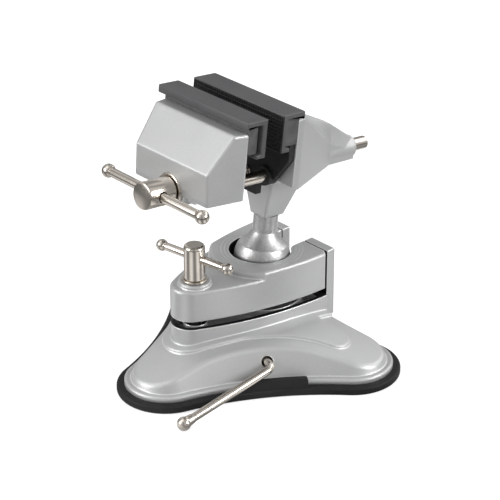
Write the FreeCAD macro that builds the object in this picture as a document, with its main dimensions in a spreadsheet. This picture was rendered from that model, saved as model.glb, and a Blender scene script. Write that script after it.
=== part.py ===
import FreeCAD, Part
import math
import os

import Sketcher
from FreeCAD import Placement, Rotation, Vector

# Bench vise on a three-lobed suction base. Millimetres, +Z up. The origin is the centre of the
# underside of the suction pad. The screw of the jaws runs along Y, with its handle at -Y, and the
# jaws are wide along X. The jaws sit on a ball joint and are drawn tipped by a few degrees.

os.makedirs("parts", exist_ok=True)
doc = FreeCAD.newDocument("suction_base_vise")
sheet = doc.addObject("Spreadsheet::Sheet", "Sizes")
X_AXIS, Y_AXIS, Z_AXIS = Vector(1, 0, 0), Vector(0, 1, 0), Vector(0, 0, 1)
TINY = 0.01
SHORT_EDGE = 5.0
LONG_EDGE = 60.0
sub_parts = []


# ---------------------------------------------------------------- sizes and formulas

class Size:
    """A length with the formula that names it, so that sketches and features stay bound."""

    def __init__(self, value, text):
        self.value = value
        self.text = text

    def join(self, other, sign, value, flip=False):
        text = other.text if isinstance(other, Size) else repr(other)
        left, right = (text, self.text) if flip else (self.text, text)
        return Size(value, f"({left} {sign} {right})")

    def __add__(self, other):
        return self.join(other, "+", self.value + number(other))

    def __sub__(self, other):
        return self.join(other, "-", self.value - number(other))

    def __rsub__(self, other):
        return self.join(other, "-", number(other) - self.value, True)

    def __mul__(self, other):
        return self.join(other, "*", self.value * number(other))

    def __truediv__(self, other):
        return self.join(other, "/", self.value / number(other))

    def __neg__(self):
        return Size(-self.value, f"(0 - {self.text})")

    __radd__ = __add__
    __rmul__ = __mul__


def number(length):
    return length.value if isinstance(length, Size) else length


def size(alias, value):
    cell = f"A{len(sheet.getUsedCells()) + 1}"
    sheet.set(cell, str(value))
    sheet.setAlias(cell, alias)
    sheet.recompute()
    return Size(value, f"Sizes.{alias}")


# ---------------------------------------------------------------- sketches and features

def bind(thing, name, length):
    """Set a feature's length, bound to the sheet when it comes from there."""
    if isinstance(length, Size):
        thing.setExpression(name, length.text)
    else:
        setattr(thing, name, length)


def new_body(name, placement=Placement()):
    body = doc.addObject("PartDesign::Body", name)
    body.Label = name
    body.Placement = placement
    sub_parts.append(body)
    return body


def shaped(name, shape, placement=Placement()):
    """A sub-part whose shape comes from Part's own functions."""
    part = doc.addObject("Part::Feature", name)
    part.Label = name
    part.Shape = shape
    part.Placement = placement
    sub_parts.append(part)
    return part


def arc_between(start, end, radius):
    """An arc of the given radius; a positive one bulges out of an anticlockwise outline."""
    half = (end - start) * 0.5
    turn = math.copysign(1, radius)
    left = Vector(-half.y, half.x, 0).normalize()
    middle = start + half + left * (turn * math.sqrt(radius * radius - half.Length ** 2))
    angles = [math.atan2(p.y - middle.y, p.x - middle.x) for p in (start, end)]
    if turn < 0:
        angles.reverse()
    return Part.ArcOfCircle(Part.Circle(middle, Z_AXIS, abs(radius)), *angles)


def hold(sketch, geometry, point, axis, value):
    """Fix one coordinate of a point of the sketch."""
    if number(value) == 0:
        line = -2 if axis == "X" else -1
        sketch.addConstraint(Sketcher.Constraint("PointOnObject", geometry, point, line))
        return
    rule = Sketcher.Constraint("Distance" + axis, -1, 1, geometry, point, number(value))
    index = sketch.addConstraint(rule)
    if isinstance(value, Size):
        sketch.setExpression(f"Constraints[{index}]", value.text)


def draw_outline(sketch, corners):
    """Closed outline; each corner is (across, up) or (across, up, radius of the arc after it)."""
    points = [Vector(number(c[0]), number(c[1]), 0) for c in corners]
    ends = []
    for i, corner in enumerate(corners):
        after = points[(i + 1) % len(points)]
        if len(corner) == 2:
            ends.append((sketch.addGeometry(Part.LineSegment(points[i], after), False), 1, 2))
            continue
        index = sketch.addGeometry(arc_between(points[i], after, number(corner[2])), False)
        ends.append((index, 1, 2) if number(corner[2]) > 0 else (index, 2, 1))
    for i, (index, first, last) in enumerate(ends):
        follower = ends[(i + 1) % len(ends)]
        rule = Sketcher.Constraint("Coincident", index, last, follower[0], follower[1])
        sketch.addConstraint(rule)
    for corner, (index, first, last) in zip(corners, ends):
        hold(sketch, index, first, "X", corner[0])
        hold(sketch, index, first, "Y", corner[1])
        if len(corner) == 3:
            radius = corner[2] if number(corner[2]) > 0 else -corner[2]
            rule = sketch.addConstraint(Sketcher.Constraint("Radius", index, number(radius)))
            if isinstance(radius, Size):
                sketch.setExpression(f"Constraints[{rule}]", radius.text)


def draw_circle(sketch, across, up, radius):
    middle = Vector(number(across), number(up), 0)
    index = sketch.addGeometry(Part.Circle(middle, Z_AXIS, number(radius)), False)
    hold(sketch, index, 3, "X", across)
    hold(sketch, index, 3, "Y", up)
    rule = sketch.addConstraint(Sketcher.Constraint("Radius", index, number(radius)))
    if isinstance(radius, Size):
        sketch.setExpression(f"Constraints[{rule}]", radius.text)


def new_sketch(body, plane, outlines=(), circles=(), offset=0):
    """Plane XY looks along Z, XZ runs right along X and up Z, YZ runs right along Y and up Z."""
    sketch = body.newObject("Sketcher::SketchObject", body.Name + "_sketch")
    face = next(f for f in body.Origin.OriginFeatures if f.Role == plane + "_Plane")
    sketch.AttachmentSupport = (face, "")
    sketch.MapMode = "FlatFace"
    if isinstance(offset, Size):
        sketch.setExpression("AttachmentOffset.Base.z", offset.text)
    for outline in outlines:
        draw_outline(sketch, outline)
    for across, up, radius in circles:
        draw_circle(sketch, across, up, radius)
    return sketch


def pad(body, plane, length, outlines=(), circles=(), offset=0, middle=False, back=False):
    feature = body.newObject("PartDesign::Pad", body.Name + "_pad")
    feature.Profile = new_sketch(body, plane, outlines, circles, offset)
    bind(feature, "Length", length)
    feature.SideType = "Symmetric" if middle else "One side"
    feature.Reversed = back
    return feature


def pocket(body, plane, length, outlines=(), circles=(), offset=0, middle=False, back=False):
    feature = body.newObject("PartDesign::Pocket", body.Name + "_pocket")
    feature.Profile = new_sketch(body, plane, outlines, circles, offset)
    bind(feature, "Length", length)
    feature.SideType = "Symmetric" if middle else "One side"
    feature.Reversed = back
    return feature


def turned(body, plane, axis, corners, cut=False):
    """Revolve an outline about the sketch's own H_Axis or V_Axis, adding or cutting."""
    kind = "Groove" if cut else "Revolution"
    feature = body.newObject("PartDesign::" + kind, body.Name + "_turned")
    sketch = new_sketch(body, plane, [corners])
    feature.Profile = sketch
    feature.ReferenceAxis = (sketch, [axis])
    feature.Angle = 360
    return feature


def rounded(body, radius, chosen):
    """Round the edges of the body for which chosen(edge) is true."""
    doc.recompute()
    base = body.Tip
    names = [f"Edge{i + 1}" for i, edge in enumerate(base.Shape.Edges) if chosen(edge)]
    feature = body.newObject("PartDesign::Fillet", body.Name + "_round")
    feature.Base = (base, names)
    bind(feature, "Radius", radius)
    return feature


def box(x0, x1, y0, y1, z0, z1):
    corner = Vector(number(x0), number(y0), number(z0))
    lengths = [number(b) - number(a) for a, b in ((x0, x1), (y0, y1), (z0, z1))]
    return Part.makeBox(*lengths, corner)


def rod(start, end, radius):
    return Part.makeCylinder(number(radius), (end - start).Length, start, end - start)


def upright(x, y, low, high, radius):
    """Cylinder along Z."""
    return rod(Vector(number(x), number(y), number(low)),
               Vector(number(x), number(y), number(high)), radius)


def lengthwise(x, z, front, back, radius):
    """Cylinder along Y."""
    return rod(Vector(number(x), number(front), number(z)),
               Vector(number(x), number(back), number(z)), radius)


# ---------------------------------------------------------------- driving dimensions
clear = size("clearance", 0.3)
running_gap = size("running_gap", 0.06)
seat_gap = size("seat_gap", 0.1)
press_gap = size("press_gap", 0.01)
pin_fit = size("pin_fit", 0.02)
overcut = size("overcut", 1.0)
tall = size("tall", 200.0)

# suction pad and housing: three lobes joined by wide hollow arcs
lobe_radius = size("lobe_radius", 28.9)
front_lobe = size("front_lobe", 59.5)
side_lobe_x = size("side_lobe_x", 57.5)
side_lobe_y = size("side_lobe_y", 32.6)
flank_arc = size("flank_arc", 186.0)
base_shift = size("base_shift", 2.2)
pad_rim = size("pad_rim", 5.0)
pad_edge_round = size("pad_edge_round", 1.6)
pad_hollow = size("pad_hollow", 2.0)
pad_hollow_radius = size("pad_hollow_radius", 46.0)
pad_hollow_top = size("pad_hollow_top", 16.0)
pad_button = size("pad_button", 10.0)
tab_start = size("tab_start", -9.0)
tab_end = size("tab_end", 29.0)
tab_height = size("tab_height", 11.0)
tab_thickness = size("tab_thickness", 3.2)
tab_near = size("tab_near", 20.0)
tab_far = size("tab_far", 80.0)
tab_root = size("tab_root", 2.0)
tab_round = size("tab_round", 1.0)
lip_inset = size("lip_inset", 4.5)
lip_height = size("lip_height", 3.2)
wall_inset = size("wall_inset", 6.8)
wall_taper = size("wall_taper", 0.42)
casting_wall = size("casting_wall", 3.5)
skirt_reach = size("skirt_reach", 40.0)
dome_height = size("dome_height", 26.2)
dome_edge = size("dome_edge", 41.0)
dome_slope = size("dome_slope", 0.33)
dome_outer = size("dome_outer", 105.0)
dome_tip = size("dome_tip", 1.2)
dome_crown = size("dome_crown", 15.0)
crease_round = size("crease_round", 4.0)
foot_round = size("foot_round", 2.4)
terrace_arc = size("terrace_arc", 150.0)
terrace_round = size("terrace_round", 0.9)
lip_round = size("lip_round", 1.3)
terrace_rise = size("terrace_rise", 1.7)
terrace_lobe = size("terrace_lobe", 9.0)
terrace_front = size("terrace_front", 44.0)
terrace_side_x = size("terrace_side_x", 50.0)
terrace_side_y = size("terrace_side_y", 26.0)
terrace_margin = size("terrace_margin", 4.8)
terrace_root = size("terrace_root", 8.0)
pocket_rim = size("pocket_rim", 2.6)
pocket_depth = size("pocket_depth", 5.0)
pocket_back = size("pocket_back", 6.0)
pillar_radius = size("pillar_radius", 7.0)

# clamp: pedestal, posts and hinged plate share one outline round the ball and the screw
ball_axis_y = size("ball_axis_y", 17.0)
screw_y = size("clamp_screw_y", 35.3)
nose_x = size("nose_x", -1.5)
nose_y = size("nose_y", 37.4)
nose_radius = size("nose_radius", 11.6)
side_arc = size("side_arc", 190.0)
plate_half_width = size("plate_half_width", 29.9)
plate_back = size("plate_back", 41.8)
pedestal_top = size("pedestal_top", 35.0)
plate_bottom = size("plate_bottom", 40.0)
plate_top = size("plate_top", 59.0)
ring_top = size("ring_top", 63.0)
ring_radius = size("ring_radius", 31.0)
notch_half = size("notch_half", 9.5)
plate_round = size("plate_round", 1.6)
ring_root = size("ring_root", 5.0)
post_gap = size("post_gap", 0.7)
post_depth = size("post_depth", 6.0)
post_outer = size("post_outer", 28.5)
post_foot = size("post_foot", 20.0)
heel_root = size("heel_root", 2.0)
pivot_height = size("pivot_height", 44.6)
pivot_radius = size("pivot_radius", 1.5)
knuckle_radius = size("knuckle_radius", 2.7)
knuckle_inner = size("knuckle_inner", 14.0)
knuckle_outer = size("knuckle_outer", 22.0)
knuckle_root = size("knuckle_root", 4.0)
knuckle_play = size("knuckle_play", 0.5)
pin_cover = size("pin_cover", 2.0)
pin_play = size("pin_play", 0.2)
boss_radius = size("boss_radius", 9.5)
boss_rise = size("boss_rise", 2.4)
boss_round = size("boss_round", 0.6)
screw_hole = size("screw_hole", 3.9)
screw_post_radius = size("screw_post_radius", 7.0)
screw_post_drop = size("screw_post_drop", 2.0)

# clamp screw with its washer, spring and sliding bar
clamp_head = size("clamp_head", 6.2)
clamp_head_top = size("clamp_head_top", 84.0)
clamp_shank = size("clamp_shank", 3.0)
clamp_tip = size("clamp_tip", 16.0)
washer_radius = size("washer_radius", 7.4)
washer_thickness = size("washer_thickness", 1.1)
clamp_bar_height = size("clamp_bar_height", 76.0)
clamp_bar_turn = size("clamp_bar_turn", 9.1)
washer_round = size("washer_round", 0.4)
head_round = size("head_round", 2.0)
tip_bevel = size("tip_bevel", 0.8)
bar_play = size("bar_play", 0.15)
clamp_bar_radius = size("clamp_bar_radius", 2.3)
clamp_bar_half = size("clamp_bar_half", 24.0)
clamp_bar_ball = size("clamp_bar_ball", 3.5)
spring_wire = size("spring_wire", 0.7)
spring_radius = size("spring_radius", 4.4)
spring_turns = size("spring_turns", 2.5)
collar_wall = size("collar_wall", 0.25)
collar_flare = size("collar_flare", 0.75)
collar_share = size("collar_share", 1.55)
bore_share = size("bore_share", 0.5)

# ball joint
ball_height = size("ball_height", 57.9)
ball_radius = size("ball_radius", 16.7)
neck_radius = size("neck_radius", 7.3)
fairing_radius = size("fairing_radius", 14.0)
fairing_start = size("fairing_start", 8.7)
fairing_end = size("fairing_end", 17.0)
neck_end = size("neck_end", 27.6)
stem_radius = size("stem_radius", 4.0)
stem_end = size("stem_end", 46.0)
stem_bevel = size("stem_bevel", 0.8)
pitch = size("pitch", 6.8)
cup_flange = size("cup_flange", 24.0)
cup_flange_top = size("cup_flange_top", 39.2)
cup_rim = size("cup_rim", 15.6)
cup_rim_top = size("cup_rim_top", 47.0)
cup_foot = size("cup_foot", 8.0)
cup_foot_depth = size("cup_foot_depth", 4.0)
ball_throat = size("ball_throat", 18.9)
ball_throat_low = size("ball_throat_low", 61.0)
ball_throat_top = size("ball_throat_top", 62.0)
ball_bore = size("ball_bore", 17.4)
ball_gap = size("ball_gap", 0.3)
fairing_arc = size("fairing_arc", 26.0)

# suction lever, its cam and the stud that lifts the pad
shaft_turn = size("shaft_turn", -22.0)
shaft_height = size("shaft_height", 17.0)
shaft_radius = size("shaft_radius", 2.45)
shaft_inner = size("shaft_inner", 15.0)
bend_reach = size("bend_reach", 51.0)
arm_turn = size("arm_turn", 72.5)
arm_drop = size("arm_drop", 12.0)
arm_length = size("arm_length", 64.0)
bend_radius = size("bend_radius", 5.0)
wall_hole = size("wall_hole", 3.4)
wall_hole_start = size("wall_hole_start", 30.0)
wall_hole_end = size("wall_hole_end", 70.0)
lever_ball_radius = size("lever_ball_radius", 4.05)
cam_radius = size("cam_radius", 5.0)
cam_throw = size("cam_throw", 1.5)
cam_length = size("cam_length", 8.0)
cam_clear = size("cam_clear", 0.45)
stud_radius = size("stud_radius", 9.5)
stud_top = size("stud_top", 26.0)
stud_foot = size("stud_foot", 13.0)
stud_foot_thickness = size("stud_foot_thickness", 2.0)
guide_wall = size("guide_wall", 3.0)
guide_roof = size("guide_roof", 4.0)
lift_room = size("lift_room", 3.5)
window_half = size("window_half", 40.0)
guide_bottom = size("guide_bottom", 11.5)
clip_radius = size("clip_radius", 4.6)
clip_thickness = size("clip_thickness", 1.0)
clip_play = size("clip_play", 0.15)

# jaws, in the frame of the head: its origin is the middle of the ball
screw_height = size("screw_height", 57.4)
lead_radius = size("lead_radius", 4.0)
lead_head = size("lead_head", 7.85)
lead_head_front = size("lead_head_front", -97.0)
lead_head_back = size("lead_head_back", -78.3)
lead_end = size("lead_end", 77.2)
lead_bevel = size("lead_bevel", 0.9)
collar_radius = size("collar_radius", 9.6)
collar_front = size("collar_front", -78.0)
collar_back = size("collar_back", -74.2)
retainer_radius = size("retainer_radius", 7.4)
retainer_thickness = size("retainer_thickness", 1.4)
handle_y = size("handle_y", -88.0)
handle_radius = size("handle_radius", 2.4)
handle_half = size("handle_half", 39.5)
handle_ball = size("handle_ball", 4.05)
handle_hole = size("handle_hole", 3.0)
rod_x = size("rod_x", 17.0)
rod_height = size("rod_height", 60.7)
rod_radius = size("rod_radius", 3.5)
rod_start = size("rod_start", -73.0)
rod_end = size("rod_end", -0.7)
rod_bore_end = size("rod_bore_end", 11.2)
grub_y = size("grub_y", -62.0)
grub_radius = size("grub_radius", 1.6)
grub_reach = size("grub_reach", 6.0)
grub_hole = size("grub_hole", 12.0)
moving_back = size("moving_back", -54.0)
moving_top = size("moving_top", 96.5)
moving_top_front = size("moving_top_front", -62.6)
moving_ridge_y = size("moving_ridge_y", -77.9)
moving_ridge_z = size("moving_ridge_z", 75.5)
moving_foot_y = size("moving_foot_y", -76.6)
moving_foot_z = size("moving_foot_z", 56.0)
moving_heel_z = size("moving_heel_z", 57.4)
moving_half = size("moving_half", 35.0)
moving_front_half = size("moving_front_half", 30.0)
casting_round = size("casting_round", 1.6)
screw_boss = size("screw_boss", 10.5)
rod_boss = size("rod_boss", 6.4)
screw_boss_set_back = size("screw_boss_set_back", 0.8)
rod_boss_set_back = size("rod_boss_set_back", 1.6)
fixed_front = size("fixed_front", -16.5)
tongue_front = size("tongue_front", -20.8)
tongue_drop = size("tongue_drop", 0.2)
fixed_top = size("fixed_top", 98.0)
fixed_top_back = size("fixed_top_back", -10.0)
fixed_bottom = size("fixed_bottom", 58.0)
shoulder_y = size("shoulder_y", -8.0)
shoulder_half = size("shoulder_half", 33.0)
shoulder_bottom = size("shoulder_bottom", 55.3)
shoulder_reach = size("shoulder_reach", 8.0)
crest_half = size("crest_half", 3.0)
waist_y = size("waist_y", 42.0)
waist_half = size("waist_half", 6.5)
waist_bottom = size("waist_bottom", 51.3)
waist_side = size("waist_side", 64.0)
waist_crest = size("waist_crest", 76.5)
tail_y = size("tail_y", 62.0)
tail_side = size("tail_side", 57.5)
tail_crest = size("tail_crest", 64.2)
tail_radius = size("tail_radius", 6.9)
tail_bottom = size("tail_bottom", 51.6)
tail_overhang = size("tail_overhang", 1.5)
crest_rise = size("crest_rise", 0.02)
stem_top = size("stem_top", 56.0)
stem_top_x = size("stem_top_x", 14.0)
stem_top_front = size("stem_top_front", -10.5)
stem_top_back = size("stem_top_back", 17.5)
stem_foot = size("stem_foot", 27.8)
stem_foot_x = size("stem_foot_x", 6.6)
stem_foot_front = size("stem_foot_front", -7.2)
stem_foot_back = size("stem_foot_back", 8.2)
stem_round = size("stem_round", 1.5)
nut_radius = size("nut_radius", 7.0)
nut_front = size("nut_front", -12.0)
nut_back = size("nut_back", 10.0)
bush_radius = size("bush_radius", 5.7)
bush_front = size("bush_front", -22.6)
tongue_root = size("tongue_root", 2.0)
tongue_hole = size("tongue_hole", 5.4)
block_half = size("block_half", 35.0)
block_bottom = size("block_bottom", 84.6)
block_top = size("block_top", 100.6)
block_round = size("block_round", 1.0)
moving_block_front = size("moving_block_front", -47.6)
fixed_block_front = size("fixed_block_front", -26.2)
cover_half = size("cover_half", 37.5)
cover_top = size("cover_top", 104.4)
cover_bottom = size("cover_bottom", 82.0)
cover_flange = size("cover_flange", 3.4)
cover_web = size("cover_web", 3.6)
cover_lip = size("cover_lip", 1.4)
moving_cover_back = size("moving_cover_back", -57.5)
moving_cover_face = size("moving_cover_face", -42.6)
fixed_cover_face = size("fixed_cover_face", -31.2)
fixed_cover_back = size("fixed_cover_back", -14.6)
hook_reach = size("hook_reach", 3.4)
cover_lip_drop = size("cover_lip_drop", 1.4)
cover_round = size("cover_round", 0.9)
block_screw_x = size("block_screw_x", 24.0)
block_screw_z = size("block_screw_z", 92.0)
block_screw_radius = size("block_screw_radius", 2.0)
block_screw_head = size("block_screw_head", 3.6)
block_screw_length = size("block_screw_length", 13.0)
block_screw_sink = size("block_screw_sink", 2.2)
block_screw_inset = size("block_screw_inset", 0.1)
block_screw_seat = size("block_screw_seat", 0.15)
socket_radius = size("socket_radius", 1.6)
socket_depth = size("socket_depth", 1.2)
doc.recompute()

head_place = Placement(Vector(0, number(ball_axis_y), number(ball_height)),
                       Rotation(X_AXIS, -number(pitch)))
ball_place = Placement(Vector(0, number(ball_axis_y), 0), Rotation())
screw_place = Placement(Vector(0, -number(screw_y), 0), Rotation())


def on_head(local):
    """The head's placement after a placement inside the head's own frame."""
    return head_place.multiply(local)


# ---------------------------------------------------------------- choosing edges

def lowest(edge):
    return min(vertex.Z for vertex in edge.Vertexes)


def climb(edge):
    return max(vertex.Z for vertex in edge.Vertexes) - lowest(edge)


def level(edge):
    return edge.BoundBox.ZLength < TINY


def rearmost(edge):
    return max(vertex.Y for vertex in edge.Vertexes)


# ---------------------------------------------------------------- base: outlines and castings

def trefoil(inset, height):
    """The base outline moved in by inset: three lobe arcs and three wide hollow arcs."""
    return lobed(three_middles(front_lobe, side_lobe_x, side_lobe_y),
                 number(lobe_radius) - inset, number(flank_arc) + inset, height)


def three_middles(front, side_x, side_y):
    """Middles of the lobes: one in front, two at the sides and behind."""
    shift = number(base_shift)
    return [Vector(shift, -number(front), 0),
            Vector(shift + number(side_x), number(side_y), 0),
            Vector(shift - number(side_x), number(side_y), 0)]


def lobed(middles, radius, hollow, height):
    """Wire of three round lobes joined by tangent arcs that bow inwards."""
    arcs = []
    hubs = []
    for i, first in enumerate(middles):
        second = middles[(i + 1) % 3]
        half = (second - first) * 0.5
        out = Vector(half.y, -half.x, 0).normalize()
        reach = math.sqrt((hollow + radius) ** 2 - half.Length ** 2)
        hubs.append(first + half + out * reach)
    for i, middle in enumerate(middles):
        before = (hubs[i - 1] - middle).normalize() * radius
        after = (hubs[i] - middle).normalize() * radius
        outer = (before + after).normalize() * radius
        if outer.dot(middle) < 0:
            outer = -outer
        arcs.append(Part.Arc(middle + before, middle + outer, middle + after).toShape())
        following = middles[(i + 1) % 3]
        nearest = hubs[i] + (Vector(0, 0, 0) - hubs[i]).normalize() * hollow
        meeting = following + (hubs[i] - following).normalize() * radius
        arcs.append(Part.Arc(middle + after, nearest, meeting).toShape())
    wire = Part.Wire(arcs)
    wire.translate(Vector(0, 0, height))
    return wire


def prism(wire, height):
    return Part.Face(wire).extrude(Vector(0, 0, height))


def dome(drop):
    """Solid under the low cone of the base, its middle eased into a flat crown."""
    top = number(dome_height) - drop
    slope = number(dome_slope)
    edge, crown, outer = number(dome_edge), number(dome_crown), number(dome_outer)
    flat_end = Vector(edge - crown, 0, top)
    lean = math.atan(slope)
    cone_start = Vector(edge + crown * math.cos(lean), 0, top - crown * math.sin(lean))
    radius = crown / math.tan(lean / 2)
    middle = Vector(edge - crown, 0, top - radius)
    half_way = middle + Vector(math.sin(lean / 2), 0, math.cos(lean / 2)) * radius
    rim = Vector(outer, 0, top - slope * (outer - edge))
    floor = Vector(outer, 0, -outer)
    edges = [Part.makeLine(Vector(0, 0, floor.z), floor), Part.makeLine(floor, rim),
             Part.makeLine(rim, cone_start), Part.Arc(cone_start, half_way, flat_end).toShape(),
             Part.makeLine(flat_end, Vector(0, 0, top)),
             Part.makeLine(Vector(0, 0, top), Vector(0, 0, floor.z))]
    solid = Part.Face(Part.Wire(edges)).revolve(Vector(), Z_AXIS, 360)
    solid.rotate(Vector(), X_AXIS, number(dome_tip))
    return solid


def flank(inset, low, high):
    """Drafted skirt between two heights; the draft leans in with the height."""
    foot = number(pad_rim)
    wires = [trefoil(inset + number(wall_taper) * (z - foot), z) for z in (low, high)]
    return Part.makeLoft(wires, True, True)


def clamp_outline(height, grow=0.0):
    """Plan of the clamp: round nose at the screw, long bowed sides, flat back."""
    back, half = number(plate_back), number(plate_half_width) + grow
    nose = Vector(number(nose_x), -number(nose_y), 0)
    radius, bow = number(nose_radius) + grow, number(side_arc) + grow
    sides = []
    for side in (1, -1):
        corner = Vector(side * half, back, 0)
        # middle of the side arc: at bow from the back corner and touching the nose inside
        span = corner - nose
        reach = bow - radius
        along = (span.Length ** 2 + reach ** 2 - bow ** 2) / (2 * span.Length)
        across = side * math.sqrt(reach ** 2 - along ** 2)
        way = span * (1 / span.Length)
        middle = nose + way * along + Vector(-way.y, way.x, 0) * across
        touch = nose + (nose - middle).normalize() * radius
        waist = middle + ((touch + corner) * 0.5 - middle).normalize() * bow
        sides.append((corner, waist, touch))
    (right, right_waist, right_touch), (left, left_waist, left_touch) = sides
    tip = nose + Vector(0, -radius, 0)
    wire = Part.Wire([Part.Arc(left_touch, tip, right_touch).toShape(),
                      Part.Arc(right_touch, right_waist, right).toShape(),
                      Part.makeLine(right, left),
                      Part.Arc(left, left_waist, left_touch).toShape()])
    wire.translate(Vector(0, 0, height))
    return wire


def soften(shape, radius, chosen):
    return shape.makeFillet(number(radius), [edge for edge in shape.Edges if chosen(edge)])


shaft_place = Placement(Vector(0, 0, number(shaft_height)),
                        Rotation(Z_AXIS, number(shaft_turn)))
shaft_way = shaft_place.Rotation.multVec(X_AXIS)


def shaft_point(reach):
    return shaft_place.multVec(Vector(number(reach), 0, 0))


post_front = plate_back + post_gap
post_back = post_front + post_depth
pivot_y = post_front + post_depth * 0.5


def pivot_rod(side, radius, inner, outer):
    start = Vector(side * number(inner), number(pivot_y), number(pivot_height))
    end = Vector(side * number(outer), number(pivot_y), number(pivot_height))
    return rod(start, end, radius)


def base_housing():
    rim, lip = number(pad_rim), number(lip_height)
    wall, foot = number(casting_wall), number(wall_inset)
    skirt_top = rim + number(skirt_reach)
    skirt = flank(foot, rim, skirt_top).common(dome(0))
    skirt = soften(skirt, crease_round,
                   lambda e: lowest(e) > rim + lip and climb(e) > TINY and is_crease(e))
    lip_plate = soften(prism(trefoil(number(lip_inset), rim), lip), lip_round,
                       lambda e: lowest(e) > rim + lip - TINY)
    terrace_middles = three_middles(terrace_front, terrace_side_x, terrace_side_y)
    low, top = rim + number(terrace_root), number(pedestal_top)
    terrace = prism(lobed(terrace_middles, number(terrace_lobe), number(terrace_arc), low),
                    top - low)
    terrace = terrace.fuse(prism(clamp_outline(low, number(terrace_margin)), top - low))
    terrace = terrace.removeSplitter().common(dome(-number(terrace_rise)))
    terrace = soften(terrace, terrace_round, is_crease)
    pedestal = prism(clamp_outline(low), top - low)
    posts = []
    for side in (-1, 1):
        left, right = sorted((side * number(notch_half), side * number(post_outer)))
        posts.append(box(left, right, post_front, post_back, post_foot, ring_top))
        posts.append(box(left, right, plate_back - heel_root, post_back, post_foot,
                         pedestal_top))
    outer_form = skirt.fuse([lip_plate, terrace, pedestal] + posts)
    cavity = flank(foot + wall, rim - TINY, skirt_top).common(dome(wall))
    guide = upright(0, 0, guide_bottom, stud_top + guide_roof, stud_radius + guide_wall)
    screw_post = upright(0, -screw_y, clamp_tip - screw_post_drop, pedestal_top - overcut,
                         screw_post_radius)
    cavity = cavity.cut([guide, screw_post])
    form = outer_form.cut(cavity)
    cuts = [pedestal_pocket(),
            upright(0, 0, rim, stud_top + lift_room, stud_radius + running_gap),
            rod(shaft_point(-shaft_inner - overcut), shaft_point(wall_hole_start),
                shaft_radius + running_gap),
            rod(shaft_point(wall_hole_start), shaft_point(wall_hole_end), wall_hole),
            upright(0, -screw_y, clamp_tip - screw_post_drop * 2, pedestal_top + overcut,
                    clamp_shank + running_gap),
            upright(0, ball_axis_y, pedestal_top - cup_foot_depth - clear,
                    pedestal_top + overcut, cup_foot + running_gap)]
    for side in (-1, 1):
        left, right = sorted((side * number(knuckle_inner - clear),
                              side * number(knuckle_outer + clear)))
        reach = knuckle_radius + knuckle_play
        cuts.append(box(left, right, post_front - knuckle_play, post_back + overcut,
                        pivot_height - reach, pivot_height + reach))
        cuts.append(pivot_rod(side, pivot_radius + pin_fit, notch_half - overcut,
                              post_outer - pin_cover))
    return form.cut(cuts)


def pedestal_pocket():
    """Recess in the pedestal's top; pillars stay for the screw and under the ball seat."""
    floor = pedestal_top - pocket_depth
    recess = prism(clamp_outline(number(floor), -number(pocket_rim)),
                   number(pocket_depth + overcut))
    root = floor - overcut
    pillars = [upright(0, -screw_y, root, pedestal_top, pillar_radius),
               upright(0, ball_axis_y, root, pedestal_top, cup_flange),
               box(-plate_half_width, plate_half_width, plate_back - pocket_back,
                   plate_back + overcut, root, pedestal_top)]
    return recess.cut(pillars)


def is_crease(edge):
    """True for a curved edge that isn't level."""
    heights = [point.z for point in edge.discretize(Number=5)]
    return max(heights) - min(heights) > number(seat_gap) and edge.Length > SHORT_EDGE


shaped("base_housing", base_housing())


def suction_pad():
    rim = number(pad_rim)
    disc = prism(trefoil(0.0, 0.0), rim)
    disc = soften(disc, pad_edge_round, level)
    hollow = Part.makeCone(number(pad_hollow_radius), number(pad_hollow_top),
                           number(pad_hollow))
    hollow = hollow.cut(upright(0, 0, 0, pad_hollow + overcut, pad_button))
    side = Vector(number(side_lobe_x), number(front_lobe + side_lobe_y), 0)
    turn = math.degrees(math.atan2(side.y, side.x))
    strip = box(tab_start, tab_end, -tab_far, -tab_near, rim - tab_root, tab_height)
    strip = soften(strip, tab_round,
                   lambda e: lowest(e) > number(tab_height) - TINY or not level(e))
    strip.rotate(Vector(), Z_AXIS, turn)
    gap = number(lip_inset) - number(clear)
    outer = prism(trefoil(gap - number(tab_thickness), 0), number(tall))
    inner = prism(trefoil(gap, -TINY), number(tall))
    tab = strip.common(outer).cut(inner)
    return disc.cut(hollow).fuse(tab).removeSplitter()


shaped("suction_pad", suction_pad())


spring_low = pedestal_top + spring_wire + pin_fit


def clamp_spring():
    """Open coil round the screw, between the pedestal and the clamp plate."""
    wire_radius = number(spring_wire)
    low = number(spring_low)
    high = number(plate_bottom - clear) - wire_radius
    radius = number(spring_radius)
    helix = Part.makeHelix((high - low) / number(spring_turns), high - low, radius)
    section = Part.Wire(Part.makeCircle(wire_radius, Vector(radius, 0, 0), Y_AXIS))
    coil = Part.Wire(helix.Edges).makePipeShell([section], True, True)
    return coil


shaped("clamp_spring", clamp_spring(),
       screw_place.multiply(Placement(Vector(0, 0, number(spring_low)), Rotation())))

pin_end = post_outer - pin_cover - pin_play
pins = Part.makeCompound([pivot_rod(side, pivot_radius, notch_half + pin_play, pin_end)
                          for side in (-1, 1)])
shaped("pivot_pins", pins)


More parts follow.
